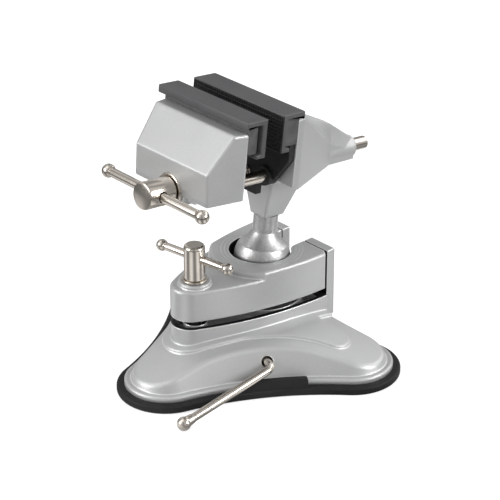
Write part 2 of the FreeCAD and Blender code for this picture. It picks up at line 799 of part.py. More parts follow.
def ball_throat_cutter():
    """Loose bore past the middle of the ball, narrow round seat above, wide mouth on top."""
    seat, middle, bore = number(ball_radius + ball_gap), number(ball_height), number(ball_bore)
    low, top = number(plate_bottom - overcut), number(ring_top)
    above = number(ring_top + overcut)
    angles = [math.asin((number(z) - middle) / seat) for z in (ball_throat_low, ball_throat_top)]
    angles.insert(1, sum(angles) / 2)
    start, half_way, neck = [Vector(seat * math.cos(a), 0, middle + seat * math.sin(a))
                             for a in angles]
    mouth = Vector(number(ball_throat), 0, top)
    corners = [Vector(0, 0, low), Vector(bore, 0, low), Vector(bore, 0, start.z)]
    edges = [Part.makeLine(corners[0], corners[1]), Part.makeLine(corners[1], corners[2]),
             Part.makeLine(corners[2], start), Part.Arc(start, half_way, neck).toShape(),
             Part.makeLine(neck, mouth),
             Part.makeLine(mouth, Vector(mouth.x, 0, above)),
             Part.makeLine(Vector(mouth.x, 0, above), Vector(0, 0, above)),
             Part.makeLine(Vector(0, 0, above), corners[0])]
    cutter = Part.Face(Part.Wire(edges)).revolve(Vector(), Z_AXIS, 360)
    cutter.translate(Vector(0, number(ball_axis_y), 0))
    return cutter


def clamp_plate():
    bottom, top, ring = number(plate_bottom), number(plate_top), number(ring_top)
    slab = soften(prism(clamp_outline(bottom), top - bottom), plate_round,
                  lambda e: lowest(e) > top - TINY and rearmost(e) < number(plate_back))
    root = plate_bottom + ring_root
    raised = upright(0, ball_axis_y, root, ring, ring_radius)
    rear = box(-ring_radius * 2, ring_radius * 2, ball_axis_y, plate_back, root, ring)
    upper = raised.fuse(rear).removeSplitter()
    upper = upper.common(prism(clamp_outline(bottom), ring - bottom)).removeSplitter()
    upper = soften(upper, plate_round,
                   lambda e: lowest(e) > ring - TINY and e.BoundBox.YLength > TINY)
    boss = upright(0, -screw_y, plate_top - overcut, plate_top + boss_rise, boss_radius)
    boss = soften(boss, boss_round, lambda e: lowest(e) > top)
    form = slab.fuse([upper, boss])
    for side in (-1, 1):
        left, right = sorted((side * number(knuckle_inner), side * number(knuckle_outer)))
        knuckle = box(left, right, plate_back - knuckle_root, pivot_y,
                      pivot_height - knuckle_radius, pivot_height + knuckle_radius)
        form = form.fuse([knuckle, pivot_rod(side, knuckle_radius, knuckle_inner,
                                             knuckle_outer)])
    low = plate_bottom - overcut
    cuts = [ball_throat_cutter(),
            box(-notch_half, notch_half, ball_axis_y, post_back, low, ring_top + overcut),
            upright(0, -screw_y, low, plate_top + boss_rise + overcut, screw_hole)]
    for side in (-1, 1):
        cuts.append(pivot_rod(side, pivot_radius + running_gap, knuckle_inner - overcut,
                              knuckle_outer + overcut))
    return form.cut(cuts)


shaped("clamp_plate", clamp_plate())


# ---------------------------------------------------------------- turned pieces of the clamp

washer_bottom = plate_top + boss_rise + clear
head_bottom = washer_bottom + washer_thickness + running_gap

washer = new_body("clamp_washer", screw_place)
pad(washer, "XY", washer_thickness, circles=[(0, 0, washer_radius), (0, 0, clamp_shank + clear)],
    offset=washer_bottom)
rounded(washer, washer_round,
        lambda e: level(e) and e.BoundBox.XLength > 2 * number(clamp_head))

bar_turn = Placement(Vector(), Rotation(Z_AXIS, number(clamp_bar_turn)))
screw = new_body("clamp_screw", screw_place.multiply(bar_turn))
turned(screw, "XZ", "V_Axis", [
    (0, clamp_tip), (clamp_shank - tip_bevel, clamp_tip), (clamp_shank, clamp_tip + tip_bevel),
    (clamp_shank, head_bottom), (clamp_head - washer_round, head_bottom),
    (clamp_head, head_bottom + washer_round),
    (clamp_head, clamp_head_top - head_round, head_round),
    (clamp_head - head_round, clamp_head_top), (0, clamp_head_top)])
doc.recompute()
pocket(screw, "YZ", clamp_head * 3, circles=[(0, clamp_bar_height, clamp_bar_radius + bar_play)],
       middle=True)

bar_rise = Placement(Vector(0, 0, number(clamp_bar_height)), Rotation())
bar_place = screw_place.multiply(bar_rise).multiply(bar_turn)


def sliding_bar(name, place, half, radius, ball):
    """Plain rod whose ends are necked where the balls are pressed on."""
    body = new_body(name, place)
    end = half - ball * number(bore_share)
    turned(body, "XZ", "H_Axis", [(-end, 0), (end, 0), (end, radius), (-end, radius)])
    return body


def bar_balls(name, place, half, radius, ball):
    """Both end balls, each with a flared collar towards the rod, bored for the rod."""
    near = ball_on_collar(radius, ball)
    near.Placement = Placement(Vector(number(half), 0, 0), Rotation(Z_AXIS, X_AXIS))
    return shaped(name, Part.makeCompound([near, near.mirror(Vector(), X_AXIS)]), place)


def ball_on_collar(radius, ball):
    """Ball at the origin, its flared collar and the bore for the rod below it."""
    reach = number(ball) * number(collar_share)
    collar = Part.makeCone(number(radius + collar_wall), number(radius + collar_flare),
                           number(ball), Vector(0, 0, -reach))
    bore = rod(Vector(0, 0, -reach - number(overcut)),
               Vector(0, 0, -number(ball) * number(bore_share)), radius + press_gap)
    return Part.makeSphere(number(ball)).fuse(collar).cut(bore)


sliding_bar("clamp_screw_bar", bar_place, clamp_bar_half, clamp_bar_radius, clamp_bar_ball)
bar_balls("clamp_bar_balls", bar_place, clamp_bar_half, clamp_bar_radius, clamp_bar_ball)


# ---------------------------------------------------------------- ball joint

seat_radius = ball_radius + seat_gap
cup_low = ball_height - seat_radius
cup_edge = Size(math.sqrt(number(seat_radius) ** 2 - number(ball_height - cup_rim_top) ** 2),
                f"sqrt({seat_radius.text}^2 - {(ball_height - cup_rim_top).text}^2)")
cup = new_body("ball_seat", ball_place)
turned(cup, "XZ", "V_Axis", [
    (0, pedestal_top - cup_foot_depth), (cup_foot, pedestal_top - cup_foot_depth),
    (cup_foot, pedestal_top + running_gap), (cup_flange, pedestal_top + running_gap),
    (cup_flange, cup_flange_top), (cup_rim, cup_flange_top + press_gap), (cup_rim, cup_rim_top),
    (cup_edge, cup_rim_top, -seat_radius), (0, cup_low)])

stud = new_body("ball_stud", head_place)
ball_start = Size(math.sqrt(number(ball_radius) ** 2 - number(fairing_start) ** 2),
                  f"sqrt({ball_radius.text}^2 - {fairing_start.text}^2)")
turned(stud, "XZ", "V_Axis", [
    (0, -ball_radius, ball_radius), (ball_start, fairing_start, -fairing_arc),
    (neck_radius, fairing_end), (neck_radius, neck_end), (stem_radius, neck_end),
    (stem_radius, stem_end - stem_bevel), (stem_radius - stem_bevel, stem_end), (0, stem_end)])


# ---------------------------------------------------------------- suction lever

def suction_lever():
    """Round bar: straight shaft, tight bend outside the wall, straight arm to the ball."""
    radius = number(shaft_radius)
    bend, turn = number(bend_radius), math.radians(number(arm_turn))
    start = Vector(-number(shaft_inner), 0, 0)
    corner = Vector(number(bend_reach), 0, 0)
    way = Vector(math.cos(turn), -math.sin(turn), 0)
    trim = bend * math.tan(turn / 2)
    bend_start, bend_end = corner - Vector(trim, 0, 0), corner + way * trim
    middle = bend_start + Vector(0, -bend, 0)
    toward = ((bend_start + bend_end) * 0.5 - middle).normalize() * bend
    end = corner + way * (number(arm_length) - number(lever_ball_radius) * number(bore_share))
    path = Part.Wire([Part.makeLine(start, bend_start),
                      Part.Arc(bend_start, middle + toward, bend_end).toShape(),
                      Part.makeLine(bend_end, end)])
    section = Part.Wire(Part.makeCircle(radius, start, X_AXIS))
    return path.makePipeShell([section], True, True)


lever_place = shaft_place.multiply(Placement(Vector(), Rotation(X_AXIS, number(arm_drop))))
shaped("suction_lever", suction_lever(), lever_place)
arm_way = Vector(math.cos(math.radians(number(arm_turn))),
                 -math.sin(math.radians(number(arm_turn))), 0)
arm_end = Vector(number(bend_reach), 0, 0) + arm_way * number(arm_length)
shaped("lever_ball", ball_on_collar(shaft_radius, lever_ball_radius),
       lever_place.multiply(Placement(arm_end, Rotation(Z_AXIS, arm_way))))

along_shaft = Placement(Vector(), Rotation(Z_AXIS, X_AXIS))
cam = new_body("lever_cam", shaft_place.multiply(along_shaft))
pad(cam, "XY", cam_length, circles=[(cam_throw, 0, cam_radius)], middle=True)
doc.recompute()
pocket(cam, "XY", cam_length * 2, circles=[(0, 0, shaft_radius + press_gap)], middle=True)

clip_reach = stud_radius + guide_wall + clip_thickness + clip_play
clip = new_body("lever_clip", shaft_place.multiply(Placement(
    Vector(-number(clip_reach), 0, 0), Rotation(Z_AXIS, X_AXIS))))
pad(clip, "XY", clip_thickness, circles=[(0, 0, clip_radius), (0, 0, shaft_radius + press_gap)])


def pad_stud():
    """Foot disc and shank with the window in which the cam turns."""
    shank = upright(0, 0, pad_rim + overcut, stud_top, stud_radius)
    foot = upright(0, 0, pad_rim + pin_fit, pad_rim + stud_foot_thickness, stud_foot)
    half_height = cam_radius + cam_clear
    half_width = half_height + cam_throw
    window = box(-window_half, window_half, -half_width, half_width,
                 -half_height - cam_throw, half_height - cam_throw)
    window.Placement = shaft_place
    return shank.fuse(foot).cut(window).removeSplitter()


shaped("pad_stud", pad_stud())


# ---------------------------------------------------------------- fixed jaw

def fixed_jaw():
    """Casting that narrows from the wide jaw face to a round tail, on a wedge-shaped stem."""
    sections = [
        (fixed_front, block_half, fixed_bottom, fixed_top, fixed_top),
        (fixed_top_back, shoulder_half, shoulder_bottom, fixed_top, fixed_top),
        (waist_y, waist_half, waist_bottom, waist_side, waist_crest),
        (tail_y, waist_half, tail_bottom, tail_side, tail_crest)]
    wires = [jaw_section(*section) for section in sections]
    lengths = [Part.makeLoft([first, second], True, True)
               for first, second in zip(wires, wires[1:])]
    tail = lengthwise(0, screw_height, shoulder_y, tail_y + tail_overhang, tail_radius)
    stem_wires = []
    for x, front_y, back_y, z in ((stem_foot_x, stem_foot_front, stem_foot_back, stem_foot),
                                  (stem_top_x, stem_top_front, stem_top_back, stem_top)):
        points = [Vector(-number(x), number(front_y), number(z)),
                  Vector(number(x), number(front_y), number(z)),
                  Vector(number(x), number(back_y), number(z)),
                  Vector(-number(x), number(back_y), number(z))]
        stem_wires.append(Part.makePolygon(points + points[:1]))
    stem = Part.makeLoft(stem_wires, True, True)
    stem = soften(stem, stem_round, lambda e: e.BoundBox.ZLength > SHORT_EDGE)
    start = fixed_front - overcut
    bosses = [lengthwise(0, screw_height, fixed_front, stem_top_back, screw_boss)]
    cuts = [lengthwise(0, screw_height, start, tail_y + tail_y, lead_radius + seat_gap),
            lengthwise(0, screw_height, start, nut_back, nut_radius + press_gap),
            upright(0, 0, 0, stem_end + clear, stem_radius + running_gap)]
    for x in (-rod_x, rod_x):
        bosses.append(lengthwise(x, rod_height, fixed_front, shoulder_y + shoulder_reach,
                                 rod_boss))
        cuts.append(lengthwise(x, rod_height, start, rod_bore_end, rod_radius + seat_gap))
    form = lengths[0].fuse(lengths[1:] + [tail, stem] + bosses).removeSplitter()
    return form.cut(cuts + block_screw_holes(fixed_block_front, -1))


def block_screw_holes(front, toward):
    """Blind holes for the two screws that enter from the face of the jaw block."""
    bottom = front - (block_screw_sink + block_screw_length + overcut) * toward
    return [lengthwise(x, block_screw_z, bottom, front, block_screw_radius + press_gap)
            for x in (-block_screw_x, block_screw_x)]


def jaw_section(y, half, bottom, side, crest_height):
    """Six-sided section across the fixed jaw: upright sides and a roof up to the crest."""
    crest = crest_height + crest_rise
    across = [(-half, bottom), (half, bottom), (half, side), (crest_half, crest),
              (-crest_half, crest), (-half, side)]
    points = [Vector(number(x), number(y), number(z)) for x, z in across]
    return Part.makePolygon(points + points[:1])


shaped("fixed_jaw", fixed_jaw(), head_place)


def jaw_block(name, back, front, tongue=None):
    """Flat steel block with two countersunk holes; the fixed one has a tongue down the jaw."""
    low, high = sorted((number(back), number(front)))
    form = box(-block_half, block_half, low, high, block_bottom, block_top)
    form = soften(form, block_round, lambda e: e.BoundBox.XLength > LONG_EDGE)
    if tongue:
        form = form.fuse(tongue)
    cuts = []
    toward = math.copysign(1, number(front) - number(back))
    past, sunk = front + overcut * toward, front - block_screw_sink * toward
    for x in (-block_screw_x, block_screw_x):
        cuts.append(lengthwise(x, block_screw_z, back - overcut * toward, past,
                               block_screw_radius + seat_gap))
        cuts.append(lengthwise(x, block_screw_z, sunk, past, block_screw_head + seat_gap))
    return shaped(name, form.cut(cuts), head_place)


def block_tongue():
    """Plate below the fixed block, with a bush round each guide rod and a hole for the screw."""
    back = fixed_front - seat_gap
    under = rod_height - tongue_drop
    plate = box(-block_half + overcut, block_half - overcut, tongue_front, back,
                under, block_bottom + tongue_root)
    middle = box(-screw_boss, screw_boss, tongue_front, back, screw_height - screw_boss,
                 under + overcut)
    bushes = [lengthwise(x, rod_height, bush_front, back, bush_radius)
              for x in (-rod_x, rod_x)]
    start = bush_front - overcut
    cuts = [lengthwise(x, rod_height, start, 0, rod_radius + seat_gap)
            for x in (-rod_x, rod_x)]
    cuts.append(lengthwise(0, screw_height, start, 0, tongue_hole))
    return plate.fuse([middle] + bushes).cut(cuts).removeSplitter()


def block_screws(name, front, toward):
    """Two cap screws, heads flush with the face of the jaw block."""
    face = front - block_screw_inset * toward
    sink = face - (block_screw_sink - block_screw_seat) * toward
    tip = sink - block_screw_length * toward
    solids = []
    for x in (-block_screw_x, block_screw_x):
        head = lengthwise(x, block_screw_z, sink, face, block_screw_head)
        shank = lengthwise(x, block_screw_z, tip, sink, block_screw_radius)
        socket = lengthwise(x, block_screw_z, face - socket_depth * toward, face,
                            socket_radius)
        solids.append(head.fuse(shank).cut(socket))
    return shaped(name, Part.makeCompound(solids), head_place)


def jaw_cover(name, back, face, toward):
    """Soft cap: flange over the block, face web down the front and a hook under the block."""
    web_back = face - cover_web * toward
    lip_front = back + cover_lip * toward
    hook_end = web_back - hook_reach * toward
    under = block_bottom - clear
    body = new_body(name, head_place)
    corners = [(face, cover_bottom), (face, cover_top), (back, cover_top),
               (back, cover_top - cover_flange - cover_lip_drop),
               (lip_front, cover_top - cover_flange - cover_lip_drop),
               (lip_front, cover_top - cover_flange), (web_back, cover_top - cover_flange),
               (web_back, under), (hook_end, under), (hook_end, cover_bottom)]
    if toward < 0:
        corners = [corners[0]] + corners[:0:-1]
    pad(body, "YZ", cover_half * 2, outlines=[corners], middle=True)
    rounded(body, cover_round, lambda e: e.BoundBox.XLength > LONG_EDGE
            and e.BoundBox.ZMax > number(cover_top) - TINY)
    return body


jaw_block("fixed_jaw_block", fixed_front - seat_gap, fixed_block_front, block_tongue())
block_screws("fixed_block_screws", fixed_block_front, -1)
jaw_cover("fixed_jaw_cover", fixed_cover_back, fixed_cover_face, -1)

nut = new_body("lead_nut", head_place)
pad(nut, "XZ", nut_back - nut_front,
    circles=[(0, screw_height, nut_radius), (0, screw_height, lead_radius + running_gap)],
    offset=-nut_back)


# ---------------------------------------------------------------- moving jaw

def moving_jaw():
    """Casting with a bevelled front, narrower at the front, with half-round bosses below."""
    profile = [(moving_back, moving_heel_z), (moving_back, moving_top),
               (moving_top_front, moving_top), (moving_ridge_y, moving_ridge_z),
               (moving_foot_y, moving_foot_z)]
    half, narrow = number(moving_half), number(moving_front_half)
    points = [Vector(-half, number(y), number(z)) for y, z in profile]
    form = Part.Face(Part.makePolygon(points + points[:1])).extrude(Vector(2 * half, 0, 0))
    wide_y, ridge_y = number(moving_back + overcut), number(moving_ridge_y)
    plan = [Vector(half, wide_y, 0), Vector(narrow, ridge_y, 0), Vector(-narrow, ridge_y, 0),
            Vector(-half, wide_y, 0)]
    form = form.common(prism(Part.makePolygon(plan + plan[:1]), number(tall)))
    form = soften(form, casting_round, lambda e: e.Length > SHORT_EDGE
                  and e.BoundBox.YMin < number(moving_back - clear))
    front = lead_head_front
    bosses = [lengthwise(0, screw_height, moving_foot_y + screw_boss_set_back, moving_back,
                         screw_boss)]
    cuts = [lengthwise(0, screw_height, front, moving_back + overcut, lead_radius + seat_gap),
            lengthwise(0, screw_height, front, collar_back + pin_fit,
                       collar_radius + seat_gap)]
    for x in (-rod_x, rod_x):
        bosses.append(lengthwise(x, rod_height, moving_foot_y + rod_boss_set_back, moving_back,
                                 rod_boss))
        cuts.append(lengthwise(x, rod_height, rod_start, moving_back + overcut,
                               rod_radius + press_gap))
        cuts.append(upright(x, grub_y, rod_height - grub_hole, rod_height,
                            grub_radius + press_gap))
    return form.fuse(bosses).cut(cuts + block_screw_holes(moving_block_front, 1))


shaped("moving_jaw", moving_jaw(), head_place)
jaw_block("moving_jaw_block", moving_back + seat_gap, moving_block_front)
block_screws("moving_block_screws", moving_block_front, 1)
jaw_cover("moving_jaw_cover", moving_cover_back, moving_cover_face, 1)

rods = [lengthwise(x, rod_height, rod_start + running_gap, rod_end, rod_radius)
        for x in (-rod_x, rod_x)]
shaped("guide_rods", Part.makeCompound(rods), head_place)

grub_screws = [upright(x, grub_y, rod_height - grub_reach, rod_height - rod_radius - press_gap,
                       grub_radius) for x in (-rod_x, rod_x)]
shaped("rod_set_screws", Part.makeCompound(grub_screws), head_place)


# ---------------------------------------------------------------- lead screw and handle

axis_place = on_head(Placement(Vector(0, 0, number(screw_height)), Rotation()))
lead = new_body("lead_screw", axis_place)
turned(lead, "YZ", "H_Axis", [
    (lead_head_front, 0), (lead_end, 0), (lead_end, lead_radius - lead_bevel),
    (lead_end - lead_bevel, lead_radius), (lead_head_back, lead_radius),
    (lead_head_back, lead_head),
    (lead_head_front + lead_bevel, lead_head), (lead_head_front, lead_head - lead_bevel)][::-1])
doc.recompute()
handle_local = Vector(0, number(handle_y), 0)
pocket(lead, "YZ", lead_head * 3, circles=[(handle_y, 0, handle_hole)], middle=True)

collar = new_body("screw_collar", axis_place)
pad(collar, "XZ", collar_back - collar_front,
    circles=[(0, 0, collar_radius), (0, 0, lead_radius + press_gap)], offset=-collar_back)

retainer = new_body("screw_retainer", axis_place)
pad(retainer, "XZ", retainer_thickness,
    circles=[(0, 0, retainer_radius), (0, 0, lead_radius + press_gap)],
    offset=-(moving_back + seat_gap + retainer_thickness))

handle_place = axis_place.multiply(Placement(handle_local, Rotation()))
sliding_bar("handle_bar", handle_place, handle_half, handle_radius, handle_ball)
bar_balls("handle_bar_balls", handle_place, handle_half, handle_radius, handle_ball)


# ---------------------------------------------------------------- checks and files

doc.recompute()
for thing in doc.Objects:
    if "Invalid" in thing.State or "Error" in thing.State:
        raise RuntimeError(f"{thing.Name} failed: {thing.getStatusString()}")
for part in sub_parts:
    if part.Shape.isNull() or not part.Shape.isValid() or not part.Shape.Solids:
        raise RuntimeError(f"{part.Label} has no valid solid")
for part in sub_parts:
    part.Shape.exportStep(f"parts/{part.Label}.step")
    print(f"{part.Label}: {len(part.Shape.Solids)} solid(s), {part.Shape.Volume:.0f} mm3")
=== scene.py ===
# %% [markdown]
# # Suction base vise
# A small bench vise on a rubber suction pad. The castings, rods, screws and covers come from the
# packed model as a fixed frame, so this lesson gives them their finishes, cuts the real threads
# and adds the fine parts that a builder would fit last.

# %% Load the packed model
import bpy
import bmesh
import math
from mathutils import Matrix, Vector


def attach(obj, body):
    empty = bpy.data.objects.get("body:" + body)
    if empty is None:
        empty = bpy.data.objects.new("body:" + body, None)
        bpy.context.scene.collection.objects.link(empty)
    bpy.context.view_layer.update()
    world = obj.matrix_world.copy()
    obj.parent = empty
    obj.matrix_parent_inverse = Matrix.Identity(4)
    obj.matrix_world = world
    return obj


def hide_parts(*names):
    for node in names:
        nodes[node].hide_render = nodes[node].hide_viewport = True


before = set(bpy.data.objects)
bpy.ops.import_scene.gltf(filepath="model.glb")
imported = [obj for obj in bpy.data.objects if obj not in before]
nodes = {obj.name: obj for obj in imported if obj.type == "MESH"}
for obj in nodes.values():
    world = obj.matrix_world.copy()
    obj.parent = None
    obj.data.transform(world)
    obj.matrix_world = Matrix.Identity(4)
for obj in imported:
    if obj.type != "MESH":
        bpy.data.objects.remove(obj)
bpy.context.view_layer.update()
MM = 0.001
print("pieces in the frame:", len(nodes))

# %% [markdown]
# The camera comes first. It looks slightly down at the handles with a long lens, the way a maker's
# catalogue shows a tool, so that the three lobes and the jaws are seen at once.

# %% Camera
AZIMUTH, ELEVATION = math.radians(47.4), math.radians(27.5)
AIM = Vector((5.2, 2.7, 69.0)) * MM
DISTANCE = 1182 * MM
SENSOR, FOCAL_PIXELS, IMAGE_PIXELS = 36.0, 2046.0, 500.0
away = Vector((math.sin(AZIMUTH) * math.cos(ELEVATION), -math.cos(AZIMUTH) * math.cos(ELEVATION),
               math.sin(ELEVATION)))
lens = bpy.data.cameras.new("catalogue_view")
lens.sensor_width = SENSOR
lens.sensor_fit = "HORIZONTAL"
lens.lens = SENSOR * FOCAL_PIXELS / IMAGE_PIXELS
lens.clip_end = 20
camera = bpy.data.objects.new("camera", lens)
camera.location = AIM + away * DISTANCE
camera.rotation_euler = (-away).to_track_quat("-Z", "Y").to_euler()
bpy.context.scene.collection.objects.link(camera)
bpy.context.scene.camera = camera
print("camera at", [round(c, 3) for c in camera.location], "lens", round(lens.lens, 1))

# %% [markdown]
# The head of the vise, with its jaws, is tipped forward about the middle of the ball. Finishes
# that follow the head and pieces that belong to it count from there, in millimetres.

# %% Where the head sits
HEAD_Y, HEAD_Z, PITCH = 17.0, 57.9, math.radians(6.8)
print("head tipped by", round(math.degrees(PITCH), 1), "degrees")

# %% [markdown]
# Shader maths reads best as ordinary sums. A small class wraps a socket, so that
# `1 - mask * 0.4` adds the Math nodes by itself.

# %% Sums of shader values


class Value:
    """One number socket of a finish, with the operators that the finishes use."""

    def __init__(self, finish, socket):
        self.finish = finish
        self.socket = socket

    def math(self, operation, left, right):
        return self.finish.node("ShaderNodeMath", {"operation": operation}, {0: left, 1: right})

    def __add__(self, other):
        return self.math("ADD", self, other)

    def __sub__(self, other):
        return self.math("SUBTRACT", self, other)

    def __rsub__(self, other):
        return self.math("SUBTRACT", other, self)

    def __mul__(self, other):
        return self.math("MULTIPLY", self, other)

    __radd__ = __add__
    __rmul__ = __mul__


print("works on both sides of a number:",
      [name for name in vars(Value) if name.startswith("__r")])

# %% [markdown]
# A finish is one material for one real surface, such as paint or plating. Every node but the sums
# comes from one method, which takes the node's type, its settings and what its sockets hold. The
# few others name what a maker would ask for: a grain, a range, a mix of two tones, a bump. The
# Bevel node rounds the shading of an edge, because no real edge is quite sharp.

# %% A finish


class Finish:
    """A material under construction, named for what it is on the tool."""

    def __init__(self, name, color, metallic, roughness):
        self.material = bpy.data.materials.new(name)
        self.material.use_nodes = True
        self.tree = self.material.node_tree
        self.shader = self.tree.nodes["Principled BSDF"]
        self.set("Base Color", color)
        self.set("Metallic", metallic)
        self.set("Roughness", roughness)
        self.place = self.node("ShaderNodeTexCoord", {}, {}, "Object")

    def set(self, socket, value):
        self.plug(self.shader.inputs[socket], value)

    def plug(self, target, value):
        if isinstance(value, Value):
            self.tree.links.new(value.socket, target)
        elif isinstance(value, (tuple, list)) and target.type == "RGBA":
            target.default_value = (*value, 1)
        else:
            target.default_value = value

    def node(self, kind, settings, inputs, output=0):
        node = self.tree.nodes.new(kind)
        for name, value in settings.items():
            setattr(node, name, value)
        for name, value in inputs.items():
            self.plug(node.inputs[name], value)
        return Value(self, node.outputs[output])

    def noise(self, scale, detail=2.0, place=None, roughness=0.5):
        return self.node("ShaderNodeTexNoise", {}, {
            "Vector": place or self.place, "Scale": scale, "Detail": detail,
            "Roughness": roughness})

    def band(self, value, low, high, out_low=0.0, out_high=1.0):
        return self.node("ShaderNodeMapRange", {"clamp": True}, {
            "Value": value, "From Min": low, "From Max": high,
            "To Min": out_low, "To Max": out_high})

    def blend(self, factor, first, second, **settings):
        return self.node("ShaderNodeMix", {"data_type": "RGBA", **settings},
                         {0: factor, 6: first, 7: second}, 2)

    def rounded(self, radius):
        return self.node("ShaderNodeBevel", {"samples": 6}, {"Radius": radius * MM})

    def bump(self, height, strength, distance, round_edge=0.0):
        inputs = {"Height": height, "Strength": strength, "Distance": distance * MM}
        if round_edge:
            inputs["Normal"] = self.rounded(round_edge)
        self.set("Normal", self.node("ShaderNodeBump", {}, inputs))


def dress(finish, *names):
    """Give packed pieces a finish in their own material slots."""
    for name in names:
        slots = nodes[name].data.materials
        for i in range(len(slots)):
            slots[i] = finish.material
    print(finish.material.name, "on", ", ".join(names))


print("pieces to dress:", len(nodes))

# %% [markdown]
# A finish changes with its place on the tool: a painted highlight at an edge, painted shade in a
# slot, rings turned round an axis. Each such place is a mask, a value of 1 where it holds and 0
# elsewhere.

# %% Masks
CRISP = 0.04


def inside(finish, value, low, high):
    """1 between two places in millimetres, 0 outside them."""
    return (finish.band(value, (low - CRISP) * MM, low * MM)
            * finish.band(value, (high + CRISP) * MM, high * MM))


def rim(finish, radius):
    """1 on an edge within the radius, 0 on open surface."""
    straight = finish.node("ShaderNodeNewGeometry", {}, {}, "Normal")
    turn = finish.node("ShaderNodeVectorMath", {"operation": "DOT_PRODUCT"},
                       {0: finish.rounded(radius), 1: straight}, "Value")
    return finish.band(turn, 0.993, 0.9)


def reach_from(finish, middle):
    """Level distance, in metres, from an upright axis through this middle in millimetres."""
    aside = finish.node("ShaderNodeMapping", {"vector_type": "TEXTURE"}, {
        "Vector": finish.place, "Location": (middle[0] * MM, middle[1] * MM, 0)})
    level = finish.node("ShaderNodeVectorMath", {"operation": "MULTIPLY"},
                        {0: aside, 1: (1, 1, 0)})
    return finish.node("ShaderNodeVectorMath", {"operation": "LENGTH"}, {0: level}, "Value")


def on_head(finish, axis):
    """Place along an axis of the tipped head, counted from the middle of the ball."""
    tipped = finish.node("ShaderNodeMapping", {"vector_type": "TEXTURE"}, {
        "Vector": finish.place, "Location": (0, HEAD_Y * MM, HEAD_Z * MM),
        "Rotation": (-PITCH, 0, 0)})
    return finish.node("ShaderNodeSeparateXYZ", {}, {0: tipped}, axis)


def lighter(tone, share):
    return tuple(min(1.0, part * share) for part in tone)


print("masks fade over", CRISP, "mm")

# %% [markdown]
# The castings wear a satin silver paint with fine flake. Flake is far finer than a millimetre, so
# a fine noise shifts the colour a little and lifts the roughness. A slow noise gives the slight
# waviness of sprayed paint over a cast surface. Little metal is mixed in, because sprayed silver
# scatters light nearly as evenly as grey paint does. A painted highlight makes the paint brighter
# along the edges, where it is also smoother. The slot under the clamp plate, the seam behind it and
# the throat beside the ball get painted shade, a colour near black. Round the ball the plate was
# faced on a lathe, and shallow rings of the tool still show through the paint.

# %% Silver paint on the castings
SILVER, SHADE_TONE = (0.5, 0.505, 0.505), (0.02, 0.02, 0.021)
EDGE_ROUND = 1.5
SLOT_HEIGHTS, SEAM, SEAM_TOP = (34.98, 40.02), (41.8, 42.52), 63.2
RELIEF_AT, RELIEF_RADIUS, RELIEF_LIP = (-0.8, 16.2), 18.4, 62.8
RINGS, RING_PITCH, RING_DEPTH, RING_HEIGHTS = (19.4, 25.6), 2.1, 12.0, (61.0, 64.5)
FAR_OUT = 1000.0

castings = Finish("silver_paint", SILVER, 0.55, 0.4)
flake = castings.noise(2600.0, 2.0)
cloud = castings.noise(35.0, 3.0)
glint = castings.band(flake, 0.3, 0.72)
skin = castings.blend(glint * 0.7 + cloud * 0.3, lighter(SILVER, 0.86), lighter(SILVER, 1.12))
# Painted highlight: the paint colour is made brighter along every edge, with a little noise.
painted_edge_highlight = rim(castings, EDGE_ROUND) * castings.band(castings.noise(90.0, 3.0), 0.3, 0.6, 0.6, 1.0)
bright = castings.blend(painted_edge_highlight, skin, lighter(SILVER, 1.75))
depth, height = (castings.node("ShaderNodeSeparateXYZ", {}, {0: castings.place}, axis)
                 for axis in (1, 2))
# Painted shade: the slot, the seam and the throat beside the ball are set to a colour near black.
slot = (inside(castings, height, *SLOT_HEIGHTS)
        * inside(castings, depth, -FAR_OUT, SEAM[1]))
seam = (inside(castings, depth, *SEAM)
        * inside(castings, height, SLOT_HEIGHTS[0], SEAM_TOP))
throat = (inside(castings, reach_from(castings, RELIEF_AT), -1.0, RELIEF_RADIUS)
          * inside(castings, height, SLOT_HEIGHTS[0], RELIEF_LIP))
painted_shade = slot.math("MAXIMUM", slot.math("MAXIMUM", slot, seam), throat)
castings.set("Base Color", castings.blend(painted_shade, bright, SHADE_TONE))
castings.set("Roughness", castings.band(flake + cloud * 0.6 - painted_edge_highlight * 0.3, 0.5, 1.1, 0.34, 0.5))
from_ball = reach_from(castings, (0.0, HEAD_Y))
rings = (from_ball.math("SINE", from_ball * (math.tau / (RING_PITCH * MM)), 0)
         * inside(castings, from_ball, *RINGS) * inside(castings, height, *RING_HEIGHTS))
orange_peel = castings.noise(300.0, 3.0)
castings.bump(flake * 0.4 + orange_peel * 0.6 + rings * RING_DEPTH, 0.22, 0.1, EDGE_ROUND)
dress(castings, "base_housing", "clamp_plate", "fixed_jaw", "moving_jaw")

# %% [markdown]
# Moulded rubber is nearly black and matt, a little greyer where it is rubbed, with a fine grain
# from the mould.

# %% Rubber of the suction pad
rubber = Finish("pad_rubber", (0.016, 0.016, 0.017), 0.0, 0.62)
worn = rubber.noise(60.0, 4.0)
rubber.set("Base Color", rubber.blend(rubber.band(worn, 0.35, 0.7), (0.008, 0.008, 0.009),
                                      (0.019, 0.018, 0.019)))
rubber.set("Roughness", rubber.band(worn, 0.3, 0.7, 0.5, 0.72))
rubber.set("Specular IOR Level", 0.25)
rubber.bump(rubber.noise(1400.0, 3.0), 0.3, 0.12)
dress(rubber, "suction_pad")

# %% [markdown]
# The ball and its neck are left as cast and tumbled: satin grey metal with a soft fine grain. One
# noise of about a millimetre makes the grain, a finer one the tumbled skin.

# %% Raw casting of the ball stud
raw = Finish("raw_casting", (0.6, 0.6, 0.605), 0.85, 0.4)
grain = raw.noise(700.0, 4.0, roughness=0.6)
tumbled = raw.noise(2400.0, 2.0)
raw.set("Base Color", raw.blend(raw.band(grain * 0.6 + tumbled * 0.4, 0.3, 0.7),
                                (0.38, 0.38, 0.385), (0.66, 0.66, 0.665)))
raw.set("Roughness", raw.band(grain, 0.3, 0.7, 0.46, 0.3))
raw.bump(grain * 0.7 + tumbled * 0.3, 0.35, 0.18)
dress(raw, "ball_stud")

